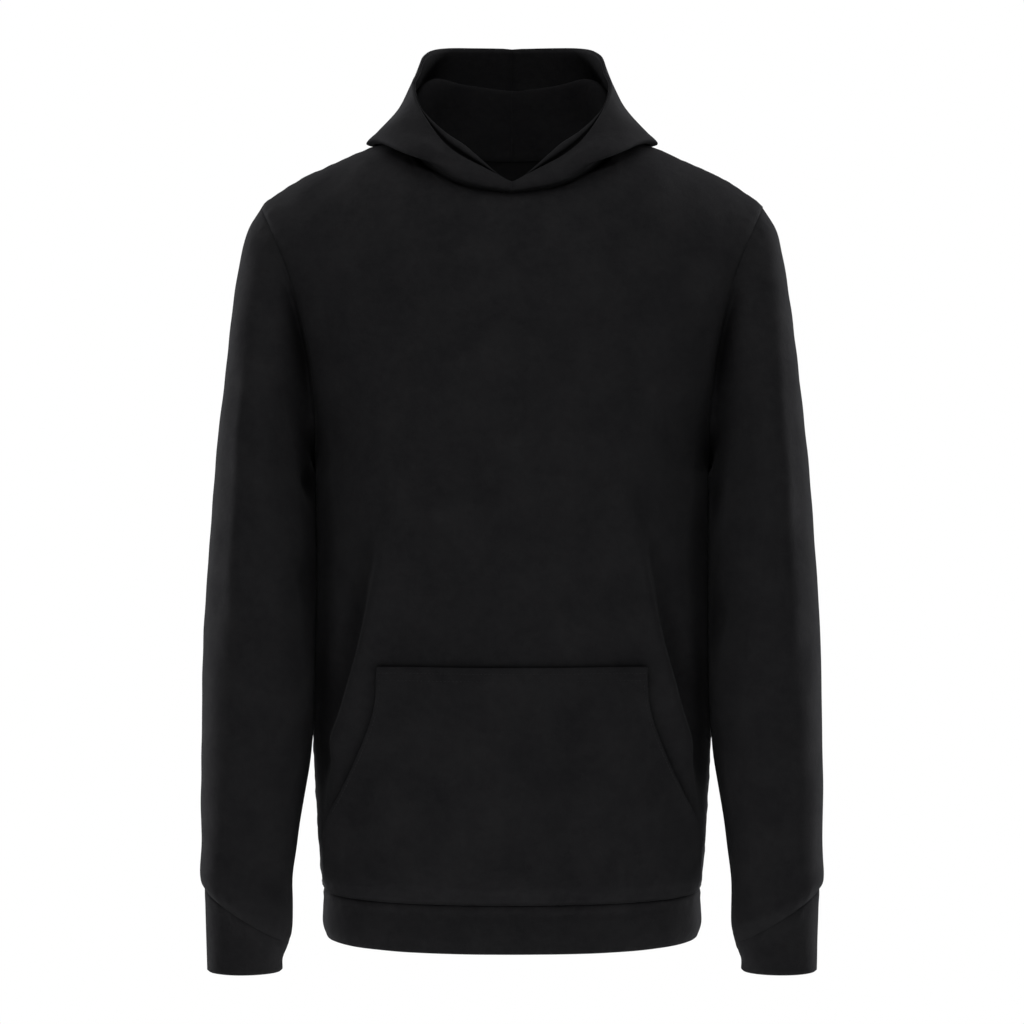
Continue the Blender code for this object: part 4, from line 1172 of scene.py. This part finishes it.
def level_line(values, away, distance):
    """Values of a grid where each of its columns reaches one distance from the first or the last row."""
    order = slice(None, None, 1 if away[-1, 0] > away[0, 0] else -1)
    columns = zip(away.T, values.swapaxes(0, 1))
    return np.array([read_along(distance, run[order], column[order]) for run, column in columns])


for name, grid in (("front", front_grid), ("back", back_grid)):
    from_hem = lengths_along(grid)[0]
    layers = (grid, grid_normals(grid, False))
    lines = [[level_line(layer, from_hem, distance) for layer in layers] for distance in HEM_STITCHES]
    keep(stitch_rows(f"hem_stitches_{name}", lines, thread), "fleece")

to_top = pocket_up[-1:] - pocket_up
layers = (pocket_grid, grid_normals(pocket_grid, False))
lines = [[level_line(layer, to_top, distance) for layer in layers] for distance in POCKET_TOP_STITCHES]
mouth = slice(int(np.searchsorted(pocket_grid[:, 0, 2], POCKET_MOUTH_FOOT_Z)), -2)
turned = [layer[mouth].swapaxes(0, 1) for layer in layers]
for away in (pocket_across, pocket_across[:, -1:] - pocket_across):
    lines.append([level_line(layer, away[mouth].T, POCKET_MOUTH_STITCHES) for layer in turned])
keep(stitch_rows("pocket_stitches", lines, thread), "fleece")

# ---------------- stage and light
AMBIENT = 0.08
FLOOR_HEIGHT = -1.45
FLOOR_RADIUS = 3.3
FLOOR_SIDES = 128
STAGE_SURFACE = {"Base Color": (0.9, 0.9, 0.9, 1.0), "Roughness": 0.9}

stage_material = new_material("stage", STAGE_SURFACE)[0]
bpy.ops.mesh.primitive_circle_add(
    vertices=FLOOR_SIDES, radius=FLOOR_RADIUS, fill_type="NGON", location=(0, 0, FLOOR_HEIGHT)
)
floor = bpy.context.object
floor.name = "floor"
floor.data.materials.append(stage_material)

scene = bpy.context.scene
scene.view_settings.view_transform = "Standard"
scene.view_settings.look = "None"
world = bpy.data.worlds.new("studio")
scene.world = world
world.use_nodes = True
seen = world.node_tree.nodes.new("ShaderNodeLightPath").outputs["Is Camera Ray"]
strength = add_node(world.node_tree, "MapRange", {"Value": seen, "To Min": AMBIENT, "To Max": 1.0})
background = {"Color": (1.0, 1.0, 1.0, 1.0), "Strength": strength.outputs["Result"]}
set_inputs(world.node_tree, world.node_tree.nodes["Background"], background)

# Columns: name, place, what it faces, width, height, power
LIGHTS = (
    ("left_strip", (1.68, 1.12, 0.0), (0.20, 0.0, -0.35), 0.6, 2.4, 165.0),
    ("right_strip", (-1.68, 1.12, 0.0), (-0.20, 0.0, -0.35), 0.6, 2.4, 165.0),
    ("front_soft", (0.0, -2.6, 1.7), (0.0, 0.0, -0.3), 0.9, 0.7, 58.0),
    ("top_soft", (0.0, -0.4, 1.9), (0.0, 0.0, -0.2), 1.2, 0.8, 20.0),
)
for name, place, target, width, height, power in LIGHTS:
    data = bpy.data.lights.new(name, "AREA")
    data.shape = "RECTANGLE"
    data.size = width
    data.size_y = height
    data.energy = power
    lamp = bpy.data.objects.new(name, data)
    lamp.location = place
    lamp.visible_camera = False
    way = np.array(target) - np.array(place)
    flat_length = math.hypot(way[0], way[1])
    lamp.rotation_euler = (
        QUARTER - math.atan2(-way[2], flat_length), 0.0, math.atan2(way[1], way[0]) - QUARTER
    )
    scene.collection.objects.link(lamp)
